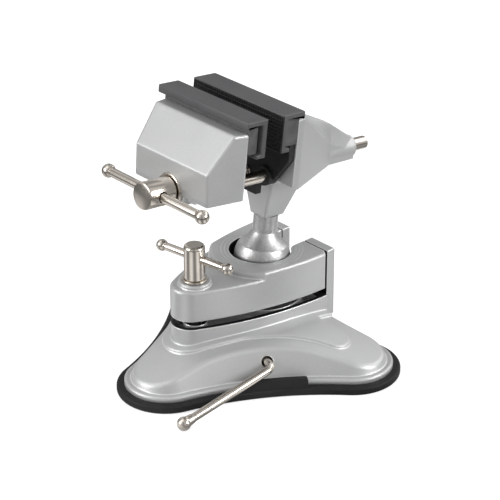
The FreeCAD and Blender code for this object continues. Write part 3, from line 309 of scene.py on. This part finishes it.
# %% [markdown]
# Bars, screws and balls are plated with bright nickel: a slightly warm mirror with hair-fine
# scratches. The scratches are a noise stretched along the bar, so each way a bar can lie gets a
# finish of its own, turned to match. A Mapping node stretches and turns the noise.

# %% Nickel plate
NICKEL = (0.66, 0.61, 0.55)
LONG, FINE, ROUND = 60.0, 1500.0, 1200.0
LEVER_TURN, CLAMP_TURN = math.radians(-94.5), math.radians(9.1)


def nickel_plate(name, stretch, tone=NICKEL, low=0.12, high=0.26, turn=(0, 0, 0)):
    plate = Finish(name, tone, 1.0, low)
    along = plate.node("ShaderNodeMapping", {}, {"Vector": plate.place, "Scale": stretch,
                                                 "Rotation": turn})
    hairs = plate.noise(1.0, 3.0, along)
    smudge = plate.noise(70.0, 3.0)
    plate.set("Base Color", plate.blend(plate.band(smudge, 0.3, 0.7), tone, lighter(tone, 0.86)))
    plate.set("Roughness", plate.band(hairs * 0.6 + smudge * 0.4, 0.35, 0.65, low, high))
    plate.bump(hairs, 0.12, 0.03, 0.3)
    return plate


bar_plate = nickel_plate("nickel_bars", (LONG, FINE, FINE))
clamp_bar_plate = nickel_plate("nickel_clamp_bar", (LONG, FINE, FINE), turn=(0, 0, -CLAMP_TURN))
rod_plate = nickel_plate("nickel_rods", (FINE, LONG, FINE), turn=(PITCH, 0, 0))
lever_plate = nickel_plate("nickel_lever", (LONG, FINE, FINE), turn=(0, 0, -LEVER_TURN))
upright_plate = nickel_plate("nickel_turned", (ROUND, ROUND, 300.0))
dress(bar_plate, "handle_bar", "handle_bar_balls")
dress(clamp_bar_plate, "clamp_screw_bar", "clamp_bar_balls")
dress(rod_plate, "guide_rods", "screw_collar", "lead_screw")
dress(lever_plate, "suction_lever", "lever_ball")
dress(upright_plate, "clamp_screw", "clamp_washer")

# %% [markdown]
# The jaw covers are moulded in charcoal plastic, satin and finely grained, with a painted highlight
# that makes them lighter along their edges. The gripping faces in the gap get painted shade: a mask
# in the head's own frame, which is tipped by its pitch, darkens what lies between them.

# %% Charcoal plastic covers
JAW_GAP, GRIP_TOP = (-43.3, -30.5), 103.6
plastic = Finish("charcoal_plastic", (0.07, 0.07, 0.074), 0.0, 0.5)
speck = plastic.noise(1500.0, 3.0)
wipe = plastic.noise(50.0, 4.0)
body_tone = plastic.blend(plastic.band(wipe * 0.6 + speck * 0.4, 0.3, 0.7),
                          (0.058, 0.057, 0.060), (0.088, 0.086, 0.088))
# Painted highlight: the cover colour is made lighter along its edges.
cover_painted_highlight = rim(plastic, 0.5) * plastic.band(plastic.noise(160.0, 3.0), 0.35, 0.6)
outer_tone = plastic.blend(cover_painted_highlight, body_tone, (0.14, 0.138, 0.14))
# Painted shade: the gripping faces between the jaws are set nearly black.
gap = (inside(plastic, on_head(plastic, 1), *JAW_GAP)
       * inside(plastic, on_head(plastic, 2), 0.0, GRIP_TOP))
plastic.set("Base Color", plastic.blend(gap, outer_tone, (0.010, 0.010, 0.011)))
plastic.set("Roughness", plastic.band(speck + wipe * 0.5, 0.5, 1.0, 0.4, 0.58))
plastic.bump(speck, 0.4, 0.12, 0.4)
dress(plastic, "fixed_jaw_cover", "moving_jaw_cover")

# %% [markdown]
# The blocks under the covers, the small screws and the cup of the ball are phosphated steel, a
# dark mottled grey. Above the blocks' foot, in the head's own frame, the tone is a lighter grey,
# and below it, where the plate hangs, nearly black, so the mask changes tone at the blocks' foot.

# %% Dark steel
BLOCK_BOTTOM, HEAD_TOP = 84.5, 200.0
dark = Finish("phosphated_steel", (0.06, 0.06, 0.062), 0.3, 0.55)
mottle = dark.noise(220.0, 4.0)
mottled = dark.band(mottle, 0.3, 0.7)
under_cover = inside(dark, on_head(dark, 2), BLOCK_BOTTOM, HEAD_TOP)
dark.set("Base Color", dark.blend(
    under_cover, dark.blend(mottled, (0.015, 0.015, 0.016), (0.036, 0.036, 0.038)),
    dark.blend(mottled, (0.075, 0.074, 0.075), (0.12, 0.118, 0.12))))
dark.set("Roughness", dark.band(mottle, 0.3, 0.7, 0.42, 0.65))
dark.bump(dark.noise(1800.0, 2.0), 0.25, 0.06)
dress(dark, "fixed_jaw_block", "moving_jaw_block", "ball_seat", "fixed_block_screws",
      "moving_block_screws", "rod_set_screws", "lever_clip", "screw_retainer")

# %% [markdown]
# The works inside are turned from steel and, for the nut, from brass. A lathe leaves the same kind
# of hair lines as polishing a plated bar does, only rougher, so the plating is used again with
# another tone.

# %% Turned steel and brass inside
STEEL, BRASS, LATHE = (0.5, 0.49, 0.48), (0.7, 0.52, 0.24), 900.0
steel = nickel_plate("turned_steel", (LATHE, LATHE, LATHE), STEEL, 0.25, 0.42)
dress(steel, "pivot_pins", "lever_cam", "pad_stud", "clamp_spring")
brass = nickel_plate("turned_brass", (LATHE, 200.0, LATHE), BRASS, 0.22, 0.4)
dress(brass, "lead_nut")

# %% [markdown]
# The fine pieces are modelled in the head's own frame, where the jaw screw runs along Y and the
# jaws stand upright, and are then tipped into place together with it.

# %% Axes of the head
HEAD = Matrix.Translation(Vector((0, HEAD_Y, HEAD_Z)) * MM) @ Matrix.Rotation(-PITCH, 4, "X")
ALONG_X = Matrix.Rotation(math.radians(90), 4, "Y")
ALONG_Y = Matrix.Rotation(math.radians(-90), 4, "X")
SCREW_HEIGHT = 57.4
SCREW_AXIS = HEAD @ Matrix.Translation((0, 0, SCREW_HEIGHT * MM)) @ ALONG_Y
print("jaw screw", SCREW_HEIGHT, "mm above the middle of the ball")

# %% [markdown]
# An operator acts on all that is selected, so everything is let go before a piece is taken in
# hand. Faces are then picked by where they are and which way they look.

# %% Hands


def clear_hands():
    if bpy.context.object and bpy.context.object.mode != "OBJECT":
        bpy.ops.object.mode_set(mode="OBJECT")
    bpy.ops.object.select_all(action="DESELECT")


def take(piece):
    clear_hands()
    bpy.context.view_layer.objects.active = piece
    piece.select_set(True)


def edit(piece):
    take(piece)
    bpy.ops.object.mode_set(mode="EDIT")
    bpy.ops.mesh.select_all(action="DESELECT")


def pick_faces(piece, chosen):
    """Select the faces for which chosen(centre, normal) is true, in millimetres."""
    bpy.ops.mesh.select_all(action="DESELECT")
    bpy.ops.mesh.select_mode(type="FACE")
    mesh = bmesh.from_edit_mesh(piece.data)
    for face in mesh.faces:
        face.select_set(bool(chosen(face.calc_center_median() / MM, face.normal)))
    mesh.select_flush(True)
    bmesh.update_edit_mesh(piece.data)
    return sum(face.select for face in mesh.faces)


clear_hands()
print("in hand:", len(bpy.context.selected_objects), "pieces")

# %% [markdown]
# A modifier is set, then applied at once. Every mesh is closed in the same way: doubles are merged
# and faces turned outwards, and the open edges that are left are counted, which should be none. Two
# closed pieces can then be joined into one, or one taken away from the other.

# %% Finishing a mesh
DOUBLE, CUT_REACH = 0.002 * MM, 0.0005 * MM


def keep_modifier(piece, kind, **settings):
    """Add a modifier, set it and apply it at once."""
    take(piece)
    modifier = piece.modifiers.new(kind.lower(), kind)
    for name, value in settings.items():
        setattr(modifier, name, value)
    bpy.ops.object.modifier_apply(modifier=modifier.name)


def place(piece, matrix):
    """Move a finished piece and bring its object back to the origin."""
    take(piece)
    piece.matrix_world = matrix
    bpy.ops.object.transform_apply(location=True, rotation=True, scale=True)


def closed(piece):
    """Merge doubles, turn the faces outwards and report open edges."""
    edit(piece)
    bpy.ops.mesh.select_all(action="SELECT")
    bpy.ops.mesh.remove_doubles(threshold=DOUBLE)
    bpy.ops.mesh.normals_make_consistent(inside=False)
    bpy.ops.object.mode_set(mode="OBJECT")
    check = bmesh.new()
    check.from_mesh(piece.data)
    open_edges = sum(len(side.link_faces) != 2 for side in check.edges)
    volume = check.calc_volume(signed=True) / MM ** 3
    check.free()
    print(piece.name, "faces", len(piece.data.polygons), "open edges", open_edges,
          "volume mm3", round(volume))


def join_solid(piece, other, operation="UNION"):
    """Boolean with another closed piece, which is used up."""
    keep_modifier(piece, "BOOLEAN", operation=operation, solver="EXACT", object=other)
    bpy.data.objects.remove(other, do_unlink=True)
    closed(piece)


print("doubles merge within", round(DOUBLE / MM, 4), "mm")

# %% [markdown]
# At the end a piece gets its smooth and its sharp edges, its material, the moving body that it
# rides on and the packed pieces that it stands for.

# %% Handing over


def smooth_by_angle(piece, degrees):
    take(piece)
    bpy.ops.object.shade_smooth_by_angle(angle=math.radians(degrees))


def finish_piece(piece, finish, body, slot, *replaced):
    """Give a piece its material and the moving body that carries it."""
    piece.data.materials.clear()
    piece.data.materials.append(finish.material)
    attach(piece, body)
    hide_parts(*replaced)
    print(piece.name, "rides", body, "and stands for", ", ".join(replaced))


print("pieces that can be stood for:", len(nodes))

# %% [markdown]
# A turned piece starts as one point: a plane merged at its centre. The point is extruded along the
# half section, and the line is spun round. This is how a lathe tool's path makes a shaft.

# %% Turning
TURN_STEPS = 64


def half_section(name, points):
    """A chain of edges through (radius, height) points, in millimetres, standing on Z."""
    clear_hands()
    bpy.ops.mesh.primitive_plane_add(size=MM)
    piece = bpy.context.object
    piece.name = name
    bpy.ops.object.mode_set(mode="EDIT")
    bpy.ops.mesh.select_mode(type="VERT")
    bpy.ops.mesh.select_all(action="SELECT")
    bpy.ops.mesh.merge(type="CENTER")
    bpy.ops.transform.translate(value=(points[0][0] * MM, 0, points[0][1] * MM))
    for (r0, z0), (r1, z1) in zip(points, points[1:]):
        bpy.ops.mesh.extrude_vertices_move(
            TRANSFORM_OT_translate={"value": ((r1 - r0) * MM, 0, (z1 - z0) * MM)})
    return piece


def turned(name, points, steps=TURN_STEPS):
    piece = half_section(name, points)
    bpy.ops.mesh.select_all(action="SELECT")
    bpy.ops.mesh.spin(steps=steps, angle=math.tau, center=(0, 0, 0), axis=(0, 0, 1))
    closed(piece)
    return piece


print("a turned piece has", TURN_STEPS, "sides")

# %% [markdown]
# The thread is a screw modifier's work: one tooth of the half section climbs a pitch each turn,
# with a few turns to spare. The tube is then cut square at both ends with bisect, which also fills
# the cuts.

# %% Threads
CREST_START, CREST_END, ROOT_START = 0.38, 0.56, 0.94
SPARE_TURNS, SPARE_BELOW, THREAD_STEPS = 3, 2, 40


def threaded(name, low, high, crest, root, pitch):
    tooth = [(root, 0), (crest, pitch * CREST_START), (crest, pitch * CREST_END),
             (root, pitch * ROOT_START), (root, pitch)]
    piece = half_section(name, tooth)
    turns = math.ceil((high - low) / pitch) + SPARE_TURNS
    keep_modifier(piece, "SCREW", axis="Z", angle=math.tau, screw_offset=pitch * MM,
                  iterations=turns, steps=THREAD_STEPS, render_steps=THREAD_STEPS,
                  use_merge_vertices=True, merge_threshold=DOUBLE)
    place(piece, Matrix.Translation((0, 0, (low - SPARE_BELOW * pitch) * MM)))
    edit(piece)
    for height, inner in ((low, True), (high, False)):
        bpy.ops.mesh.select_all(action="SELECT")
        bpy.ops.mesh.bisect(plane_co=(0, 0, height * MM), plane_no=(0, 0, 1), use_fill=True,
                            clear_inner=inner, clear_outer=not inner, threshold=CUT_REACH)
    closed(piece)
    return piece


print("the crest takes up", round(CREST_END - CREST_START, 2), "of the pitch")

# %% [markdown]
# The jaw screw: a plain head bored across for the handle, a polished neck, two-millimetre thread
# between the jaws and a plain tail. Thread and plain lengths overlap a little and are joined, so
# that the screw is one closed solid. The plain lengths are a hair thicker than the thread, so
# that the join has no faces that lie in each other.

# %% Jaw screw
CREST, ROOT, CORE, THREAD_PITCH, HAIR = 3.95, 3.3, 2.9, 2.0, 0.02
HEAD_FRONT, HEAD_BACK, HEAD_RADIUS = -97.0, -78.3, 7.85
END_BEVEL, BEVEL_KNEE, FOOT_BEVEL = 0.9, 0.27, 0.3
THREAD_FRONT, THREAD_BACK, SCREW_END = -52.5, 40.0, 77.2
RUN_OUT, OVERLAP = 0.5, 1.1
HANDLE_Y, HANDLE_HOLE, BORE_LENGTH = -88.0, 3.2, 30.0

jaw_screw = threaded("jaw_screw", THREAD_FRONT, THREAD_BACK, CREST - HAIR, ROOT, THREAD_PITCH)
join_solid(jaw_screw, turned("screw_front", [
    (0, HEAD_FRONT), (HEAD_RADIUS - END_BEVEL, HEAD_FRONT),
    (HEAD_RADIUS - BEVEL_KNEE, HEAD_FRONT + BEVEL_KNEE), (HEAD_RADIUS, HEAD_FRONT + END_BEVEL),
    (HEAD_RADIUS, HEAD_BACK - FOOT_BEVEL), (HEAD_RADIUS - FOOT_BEVEL, HEAD_BACK),
    (CREST, HEAD_BACK), (CREST, THREAD_FRONT + RUN_OUT), (CORE, THREAD_FRONT + OVERLAP),
    (0, THREAD_FRONT + OVERLAP)]))
join_solid(jaw_screw, turned("screw_tail", [
    (0, THREAD_BACK - OVERLAP), (CORE, THREAD_BACK - OVERLAP), (CREST, THREAD_BACK - RUN_OUT),
    (CREST, SCREW_END - END_BEVEL), (CREST - END_BEVEL, SCREW_END), (0, SCREW_END)]))
clear_hands()
bpy.ops.mesh.primitive_cylinder_add(vertices=48, radius=HANDLE_HOLE * MM,
                                    depth=BORE_LENGTH * MM,
                                    location=(0, 0, HANDLE_Y * MM),
                                    rotation=(0, math.radians(90), 0))
join_solid(jaw_screw, bpy.context.object, "DIFFERENCE")
smooth_by_angle(jaw_screw, degrees=25)
place(jaw_screw, SCREW_AXIS)
finish_piece(jaw_screw, rod_plate, "lead_screw", "screw_nickel", "lead_screw")

# %% [markdown]
# Each jaw cover is one moulding: a web down the gap, a flange over the block and a small hook
# under it. It starts as a block the size of the web, marked across where flange and hook begin.

# %% Blocks and marks


def block(name, size, middle=(0, 0, 0)):
    """A box of this size round this point, in millimetres, as a start for a piece."""
    clear_hands()
    bpy.ops.mesh.primitive_cube_add(size=1)
    piece = bpy.context.object
    piece.name = name
    bpy.ops.transform.resize(value=[side * MM for side in size])
    bpy.ops.transform.translate(value=[part * MM for part in middle])
    bpy.ops.object.transform_apply(location=True, rotation=True, scale=True)
    return piece


def mark(point, across):
    """Cut an edge line into what is selected, on the plane through this point."""
    bpy.ops.mesh.bisect(plane_co=[part * MM for part in point], plane_no=across,
                        threshold=CUT_REACH)


def draw_out(piece, chosen, reach):
    """Extrude the chosen faces by this step, in millimetres."""
    pick_faces(piece, chosen)
    bpy.ops.mesh.extrude_region_move(TRANSFORM_OT_translate={
        "value": [part * MM for part in reach]})


print("a mark is cut within", round(CUT_REACH / MM, 4), "mm")

# %% [markdown]
# The gripping face gets a field of small blunt pyramids: the face is inset, cut square and pushed
# in, and each little square is poked out again to just under the face's own height.

# %% Gripping face
COVER_HALF, COVER_TOP, COVER_BOTTOM = 37.5, 104.37, 82.0
MOULD_ROUND, FIELD_RIM, ON_FACE = 0.8, 0.7, 0.05
PANEL_EDGES, CUTS_IN_PANEL = (-0.5, 0, 0.5), 9
TOOTH, TOOTH_RISE, VALLEY, TOOTH_SLOPE = 0.55, 0.506, 0.18, 0.5


def in_field(centre):
    border = MOULD_ROUND + FIELD_RIM
    return (abs(centre.x) < COVER_HALF - border
            and COVER_BOTTOM + border < centre.z < COVER_TOP - border)


def cross_cut_face(piece, face, toward):
    """Field of blunt pyramids on the gap face, their tips no higher than the face was."""
    def gap_face(c, n):
        return n.y * toward > 0.99 and abs(c.y - face) < ON_FACE

    def field(c, n):
        return gap_face(c, n) and in_field(c)

    edit(piece)
    pick_faces(piece, gap_face)
    bpy.ops.mesh.inset(thickness=FIELD_RIM * MM, use_even_offset=False)
    for share in PANEL_EDGES:
        pick_faces(piece, field)
        mark((share * COVER_HALF, 0, 0), (1, 0, 0))
    pick_faces(piece, field)
    bpy.ops.mesh.subdivide(number_cuts=CUTS_IN_PANEL)
    print("squares in the field:", pick_faces(piece, field))
    bpy.ops.mesh.extrude_region_move(TRANSFORM_OT_translate={
        "value": (0, -toward * TOOTH * MM, 0)})
    bpy.ops.mesh.inset(thickness=VALLEY * MM, use_individual=True, use_even_offset=False)
    bpy.ops.mesh.inset(thickness=TOOTH_SLOPE * MM, depth=TOOTH_RISE * MM, use_individual=True,
                       use_even_offset=False)
    bpy.ops.object.mode_set(mode="OBJECT")


# %% [markdown]
# Now the two covers themselves. The hook and the flange are extruded from the marked strips, and
# the flange's far strip is drawn down into a lip. Then the edges are rounded as in a mould.

# %% Jaw covers
COVER_WEB, COVER_FLANGE, HOOK_TOP, HOOK_REACH = 3.6, 3.37, 84.3, 3.4
LIP_THICK, LIP_DROP = 1.4, 1.4
FLANGE_FOOT, COVER_MIDDLE = COVER_TOP - COVER_FLANGE, (COVER_TOP + COVER_BOTTOM) / 2


def jaw_cover(name, back, face):
    """Cover whose gap face is at y = face; back is the far edge of its flange."""
    toward = math.copysign(1, face - back)
    piece = block(name, (2 * COVER_HALF, COVER_WEB, COVER_TOP - COVER_BOTTOM),
                  (0, face - toward * COVER_WEB / 2, COVER_MIDDLE))
    edit(piece)
    for level in (HOOK_TOP, FLANGE_FOOT):
        bpy.ops.mesh.select_all(action="SELECT")
        mark((0, 0, level), (0, 0, 1))
    draw_out(piece, lambda c, n: n.y * toward < -0.9 and c.z < HOOK_TOP,
             (0, -toward * HOOK_REACH, 0))
    for length in (abs(face - back) - COVER_WEB - LIP_THICK, LIP_THICK):
        draw_out(piece, lambda c, n: n.y * toward < -0.9 and c.z > FLANGE_FOOT,
                 (0, -toward * length, 0))
    draw_out(piece, lambda c, n: (n.z < -0.9 and c.z > COVER_MIDDLE
                                  and abs(c.y - back) < LIP_THICK), (0, 0, -LIP_DROP))
    bpy.ops.mesh.select_all(action="SELECT")
    bpy.ops.mesh.remove_doubles(threshold=DOUBLE)
    bpy.ops.mesh.dissolve_limited(angle_limit=math.radians(1))
    closed(piece)
    keep_modifier(piece, "BEVEL", width=MOULD_ROUND * MM, segments=3, limit_method="ANGLE",
                  angle_limit=math.radians(60))
    cross_cut_face(piece, face, toward)
    closed(piece)
    smooth_by_angle(piece, degrees=40)
    place(piece, HEAD)
    return piece


moving_cover = jaw_cover("moving_cover", back=-57.5, face=-42.6)
finish_piece(moving_cover, plastic, "moving_jaw", "cover_plastic", "moving_jaw_cover")
fixed_cover = jaw_cover("fixed_cover", back=-14.6, face=-31.2)
finish_piece(fixed_cover, plastic, "fixed_jaw", "cover_plastic", "fixed_jaw_cover")

# %% [markdown]
# The collar ring at the foot of the screw head is a turned washer with rounded rims and a shallow
# groove in its face, which catches a bright line.

# %% Collar ring
COLLAR_FRONT, COLLAR_BACK, COLLAR_RADIUS = -78.0, -74.2, 9.6
COLLAR_ROUND, ROUND_KNEE = 0.5, 0.15
GROOVE_RADII = (HEAD_RADIUS + 0.15, HEAD_RADIUS + 0.35, HEAD_RADIUS + 0.6)
GROOVE_FLOOR, GROOVE_KNEE = COLLAR_FRONT + 0.5, COLLAR_FRONT + 0.1

collar_ring = turned("collar_ring", [
    (CREST, GROOVE_FLOOR), (GROOVE_RADII[0], GROOVE_FLOOR), (GROOVE_RADII[1], GROOVE_KNEE),
    (GROOVE_RADII[2], COLLAR_FRONT), (COLLAR_RADIUS - COLLAR_ROUND, COLLAR_FRONT),
    (COLLAR_RADIUS - ROUND_KNEE, COLLAR_FRONT + ROUND_KNEE),
    (COLLAR_RADIUS, COLLAR_FRONT + COLLAR_ROUND), (COLLAR_RADIUS, COLLAR_BACK),
    (CREST, COLLAR_BACK), (CREST, GROOVE_FLOOR)])
smooth_by_angle(collar_ring, degrees=25)
place(collar_ring, SCREW_AXIS)
finish_piece(collar_ring, rod_plate, "lead_screw", "nickel", "screw_collar")

# %% [markdown]
# A sliding bar is one turned piece: a plain rod, a fine groove where each end is pressed on, and a
# ball. Half of its section is drawn from the middle to the ball at one end and then mirrored.

# %% Section of a sliding bar
GROOVE_WIDE, GROOVE_DEEP, COLLAR_RISE, TAPER, TAPER_FALL = 0.5, 0.35, 0.15, 2.2, 0.1
RISE_LONG = 0.4
BALL_STEPS, BAR_STEPS = 12, 40
HANDLE_SIZES, CLAMP_BAR_SIZES = (39.5, 2.75, 4.05), (24.0, 2.4, 3.5)


def bar_section(half, radius, ball):
    """Half section of a bar: (radius, place) points from one end to the other."""
    foot = math.asin(min(1.0, (radius + COLLAR_RISE) / ball))
    arc = [(ball * math.sin(foot + (math.pi - foot) * i / BALL_STEPS),
            half - ball * math.cos(foot + (math.pi - foot) * i / BALL_STEPS))
           for i in range(BALL_STEPS)]
    start = arc[0][1]
    groove = start - 2 * GROOVE_WIDE
    near = [(radius, start - TAPER), (radius - TAPER_FALL, groove - TAPER_FALL),
            (radius - GROOVE_DEEP, groove), (radius - GROOVE_DEEP, start - GROOVE_WIDE),
            (radius + COLLAR_RISE, start - RISE_LONG)]
    side = near + arc + [(0, half + ball)]
    return [(r, -z) for r, z in reversed(side)] + side


def sliding_bar(name, sizes, at):
    piece = turned(name, bar_section(*sizes), BAR_STEPS)
    smooth_by_angle(piece, degrees=35)
    place(piece, at @ ALONG_X)
    return piece


print("points in the handle's section:", len(bar_section(*HANDLE_SIZES)))

# %% [markdown]
# The long bar goes through the head of the jaw screw, and the short one through the clamp screw,
# a few degrees off square. Each slides in its hole, so each rides a body of its own.

# %% Sliding bars
CLAMP_Y, CLAMP_BAR_HEIGHT = -35.3, 76.0

handle = sliding_bar("tommy_bar", HANDLE_SIZES,
                     HEAD @ Matrix.Translation(Vector((0, HANDLE_Y, SCREW_HEIGHT)) * MM))
finish_piece(handle, bar_plate, "handle", "nickel", "handle_bar", "handle_bar_balls")
clamp_bar = sliding_bar("clamp_tommy_bar", CLAMP_BAR_SIZES,
                        Matrix.Translation(Vector((0, CLAMP_Y, 0)) * MM)
                        @ Matrix.Rotation(CLAMP_TURN, 4, "Z")
                        @ Matrix.Translation((0, 0, CLAMP_BAR_HEIGHT * MM)))
finish_piece(clamp_bar, clamp_bar_plate, "clamp_bar", "nickel", "clamp_screw_bar",
             "clamp_bar_balls")

# %% [markdown]
# Two pieces are finished by hand, as a fitter would after the machine. Each starts as a merged
# copy of the packed shape, and solid cutters are taken away from it: a turned one, or a block
# that stands where a saw would run, on both sides.

# %% Fitting by hand


def merged_copy(node, name):
    piece = bpy.data.objects.new(name, nodes[node].data.copy())
    bpy.context.scene.collection.objects.link(piece)
    take(piece)
    bpy.ops.mesh.customdata_custom_splitnormals_clear()
    closed(piece)
    return piece


def saw_both_sides(piece, size, at):
    """Take away a block of this size, in millimetres, standing at this place, and its mirror."""
    for side in (1, -1):
        saw = block("saw", size)
        place(saw, Matrix.Scale(side, 4, (1, 0, 0)) @ at)
        closed(saw)
        join_solid(piece, saw, "DIFFERENCE")


print("pieces to fit:", [nodes[node].name for node in ("clamp_plate", "fixed_jaw_block")])

# %% [markdown]
# The ring of the clamp plate is relieved beside the ball, so that the neck has room. The plate's
# two rear corners are taken off, so that a clear seam shows in front of the posts.

# %% Fitted clamp plate
RELIEF_FLOOR, RELIEF_TOP, RELIEF_STEPS = 46.0, 66.0, 96
REAR_CORNER, CORNER_SAW, SAW_LEVEL = ((26.4, 41.8), (29.9, 39.7)), (8.0, 4.0, 40.0), 52.0

fitted_plate = merged_copy("clamp_plate", "fitted_clamp_plate")
relief = turned("relief", [(0, RELIEF_FLOOR), (RELIEF_RADIUS, RELIEF_FLOOR),
                           (RELIEF_RADIUS, RELIEF_TOP), (0, RELIEF_TOP)], RELIEF_STEPS)
place(relief, Matrix.Translation(Vector((*RELIEF_AT, 0)) * MM))
join_solid(fitted_plate, relief, "DIFFERENCE")
(inner_x, inner_y), (outer_x, outer_y) = REAR_CORNER
lean = math.atan2(outer_y - inner_y, outer_x - inner_x)
middle = Vector(((inner_x + outer_x) / 2, (inner_y + outer_y) / 2, SAW_LEVEL)) * MM
saw_both_sides(fitted_plate, CORNER_SAW,
               Matrix.Translation(middle) @ Matrix.Rotation(lean, 4, "Z")
               @ Matrix.Translation((0, CORNER_SAW[1] / 2 * MM, 0)))
smooth_by_angle(fitted_plate, degrees=24)
keep_modifier(fitted_plate, "WEIGHTED_NORMAL", keep_sharp=True, weight=90)
finish_piece(fitted_plate, castings, "clamp_plate", "clamp_paint", "clamp_plate")

# %% [markdown]
# The plate under the fixed block hangs down towards the guide rods. Its lower corners are sawn off
# along a slope.

# %% Sawn jaw block
SAWN, PLATE_SAW, PLATE_Y = ((31.6, 71.0), (24.0, 60.0)), (40.0, 20.0, 12.0), -18.8

sawn_block = merged_copy("fixed_jaw_block", "sawn_jaw_block")
(high_x, high_z), (low_x, low_z) = SAWN
lean = math.atan2(high_z - low_z, high_x - low_x)
middle = Vector(((high_x + low_x) / 2, PLATE_Y, (high_z + low_z) / 2)) * MM
saw_both_sides(sawn_block, PLATE_SAW,
               HEAD @ Matrix.Translation(middle) @ Matrix.Rotation(-lean, 4, "Y")
               @ Matrix.Translation((0, 0, -PLATE_SAW[2] / 2 * MM)))
smooth_by_angle(sawn_block, degrees=30)
keep_modifier(sawn_block, "WEIGHTED_NORMAL", keep_sharp=True, weight=80)
finish_piece(sawn_block, dark, "fixed_jaw", "block_steel", "fixed_jaw_block")

# %% [markdown]
# Bright metal needs both light and dark to mirror. Soft cards, bright and dark in turn, stand all
# round the set and give round bars their streaks. A Light Path node tells which ray is asking, so
# that mirrors alone see the cards.

# %% Rays and cards
CARD_COUNT, CARD_TURN, CARD_FADE = 6, 3.5, 0.7


def ray(finish, kind):
    """1 for rays of this kind, such as camera or glossy ones, 0 for all others."""
    return finish.node("ShaderNodeLightPath", {}, {}, f"Is {kind} Ray")


def cards(finish, low, high):
    """Soft bright and dark cards that stand round the set, for mirrors alone."""
    turn = finish.node("ShaderNodeTexGradient", {"gradient_type": "RADIAL"},
                       {"Vector": finish.place}, 1)
    wave = turn.math("SINE", turn * (CARD_COUNT * math.tau) + CARD_TURN, 0)
    return finish.band(wave, -CARD_FADE, CARD_FADE, low, high)


print("cards round the set:", CARD_COUNT)

# %% [markdown]
# The stage is a pale floor. Seen by the camera it is lifted to white, the more so the further off
# it lies, while the shadow near the tool stays. A mirror ray meets white floor near the tool, and
# further off the floor falls away to grey, as in a real room.

# %% Stage
FLOOR_SIZE = 30.0
PAPER, LIFT, FAR_PAPER = (0.55, 0.55, 0.55), (0.62, 0.62, 0.62), (0.1, 0.1, 0.1)
WHITE_TO, GREY_FROM, MIRROR_LIFT = 0.16, 0.5, 0.7
LIFT_FROM, LIFT_TO, FAR_LIFT = 0.2, 2.5, 2.3

clear_hands()
bpy.ops.mesh.primitive_plane_add(size=FLOOR_SIZE, location=(0, 0, 0))
floor = bpy.context.object
floor.name = "studio_floor"
floor_paint = Finish("studio_paper", PAPER, 0.0, 0.95)
seen, mirrored = ray(floor_paint, "Camera"), ray(floor_paint, "Glossy")
reach = floor_paint.node("ShaderNodeVectorMath", {"operation": "LENGTH"},
                         {0: floor_paint.place}, "Value")
near = (floor_paint.band(reach, WHITE_TO, GREY_FROM, 1.0, 0.0)
        * cards(floor_paint, 0.15, 1.0))
faded = floor_paint.band(reach, LIFT_FROM, LIFT_TO, 1.0, FAR_LIFT)
floor_paint.set("Emission Strength", 1.0)
floor_paint.set("Emission Color", floor_paint.blend(
    seen * faded + mirrored * near * MIRROR_LIFT, (0, 0, 0), LIFT, clamp_factor=False))
floor_paint.set("Base Color", floor_paint.blend(mirrored * (1 - near), PAPER, FAR_PAPER))
floor.data.materials.append(floor_paint.material)
print("floor", FLOOR_SIZE, "m wide")

# %% [markdown]
# The lamps are wide and soft. One hangs overhead, the key stands low on the left and a fill as
# strong on the right, both a little in front, and a weaker rim light stands behind.

# %% Lamps
LAMP_TARGET = Vector((0, 0, 0.08))
LAMPS = (
    ("top_light", (-0.35, -0.55, 1.3), (1.0, 1.0), 3.4),
    ("key_light", (-0.55, -1.25, 0.6), (0.7, 0.7), 12.0),
    ("fill_light", (1.2, 0.55, 0.7), (0.6, 0.6), 12.0),
    ("rim_light", (0.3, 1.2, 0.9), (1.0, 0.6), 4.5),
)

for name, where, size, power in LAMPS:
    light = bpy.data.lights.new(name, "AREA")
    light.shape = "RECTANGLE"
    light.size, light.size_y = size
    light.energy = power
    holder = bpy.data.objects.new(name, light)
    holder.location = where
    holder.rotation_euler = (LAMP_TARGET - Vector(where)).to_track_quat("-Z", "Y").to_euler()
    bpy.context.scene.collection.objects.link(holder)
    print(name, power, "watts, size in metres", size)

# %% [markdown]
# The camera and clear things see plain white air. Everything else is lit by a softer glow, a
# little brighter overhead than at the horizon, and mirrors also find the cards in it. The world
# has a node tree as a material has, so it is built with the same sums.

# %% Air round the set
HORIZON_GLOW, CEILING_GLOW = 0.5, 0.62


class Air(Finish):
    """The world's own node tree, with the same sums as a finish."""

    def __init__(self, name):
        self.world = bpy.data.worlds.new(name)
        self.world.use_nodes = True
        self.tree = self.world.node_tree
        self.shader = self.tree.nodes["Background"]
        self.place = self.node("ShaderNodeTexCoord", {}, {}, "Generated")


air = Air("studio_air")
bpy.context.scene.world = air.world
upward = air.node("ShaderNodeSeparateXYZ", {}, {0: air.place}, 2)
glow = air.band(upward, 0.0, 1.0, HORIZON_GLOW, CEILING_GLOW)
plain, clear = ray(air, "Camera"), ray(air, "Transmission")
white = plain.math("MAXIMUM", plain, clear)
carded = ray(air, "Glossy") * cards(air, -0.35, 0.3) + 1
air.set("Color", (1, 1, 1))
air.set("Strength", white + (1 - white) * glow * carded)
bpy.context.scene.view_settings.view_transform = "Standard"
print("air glows", HORIZON_GLOW, "at the horizon and", CEILING_GLOW, "overhead")

# %% [markdown]
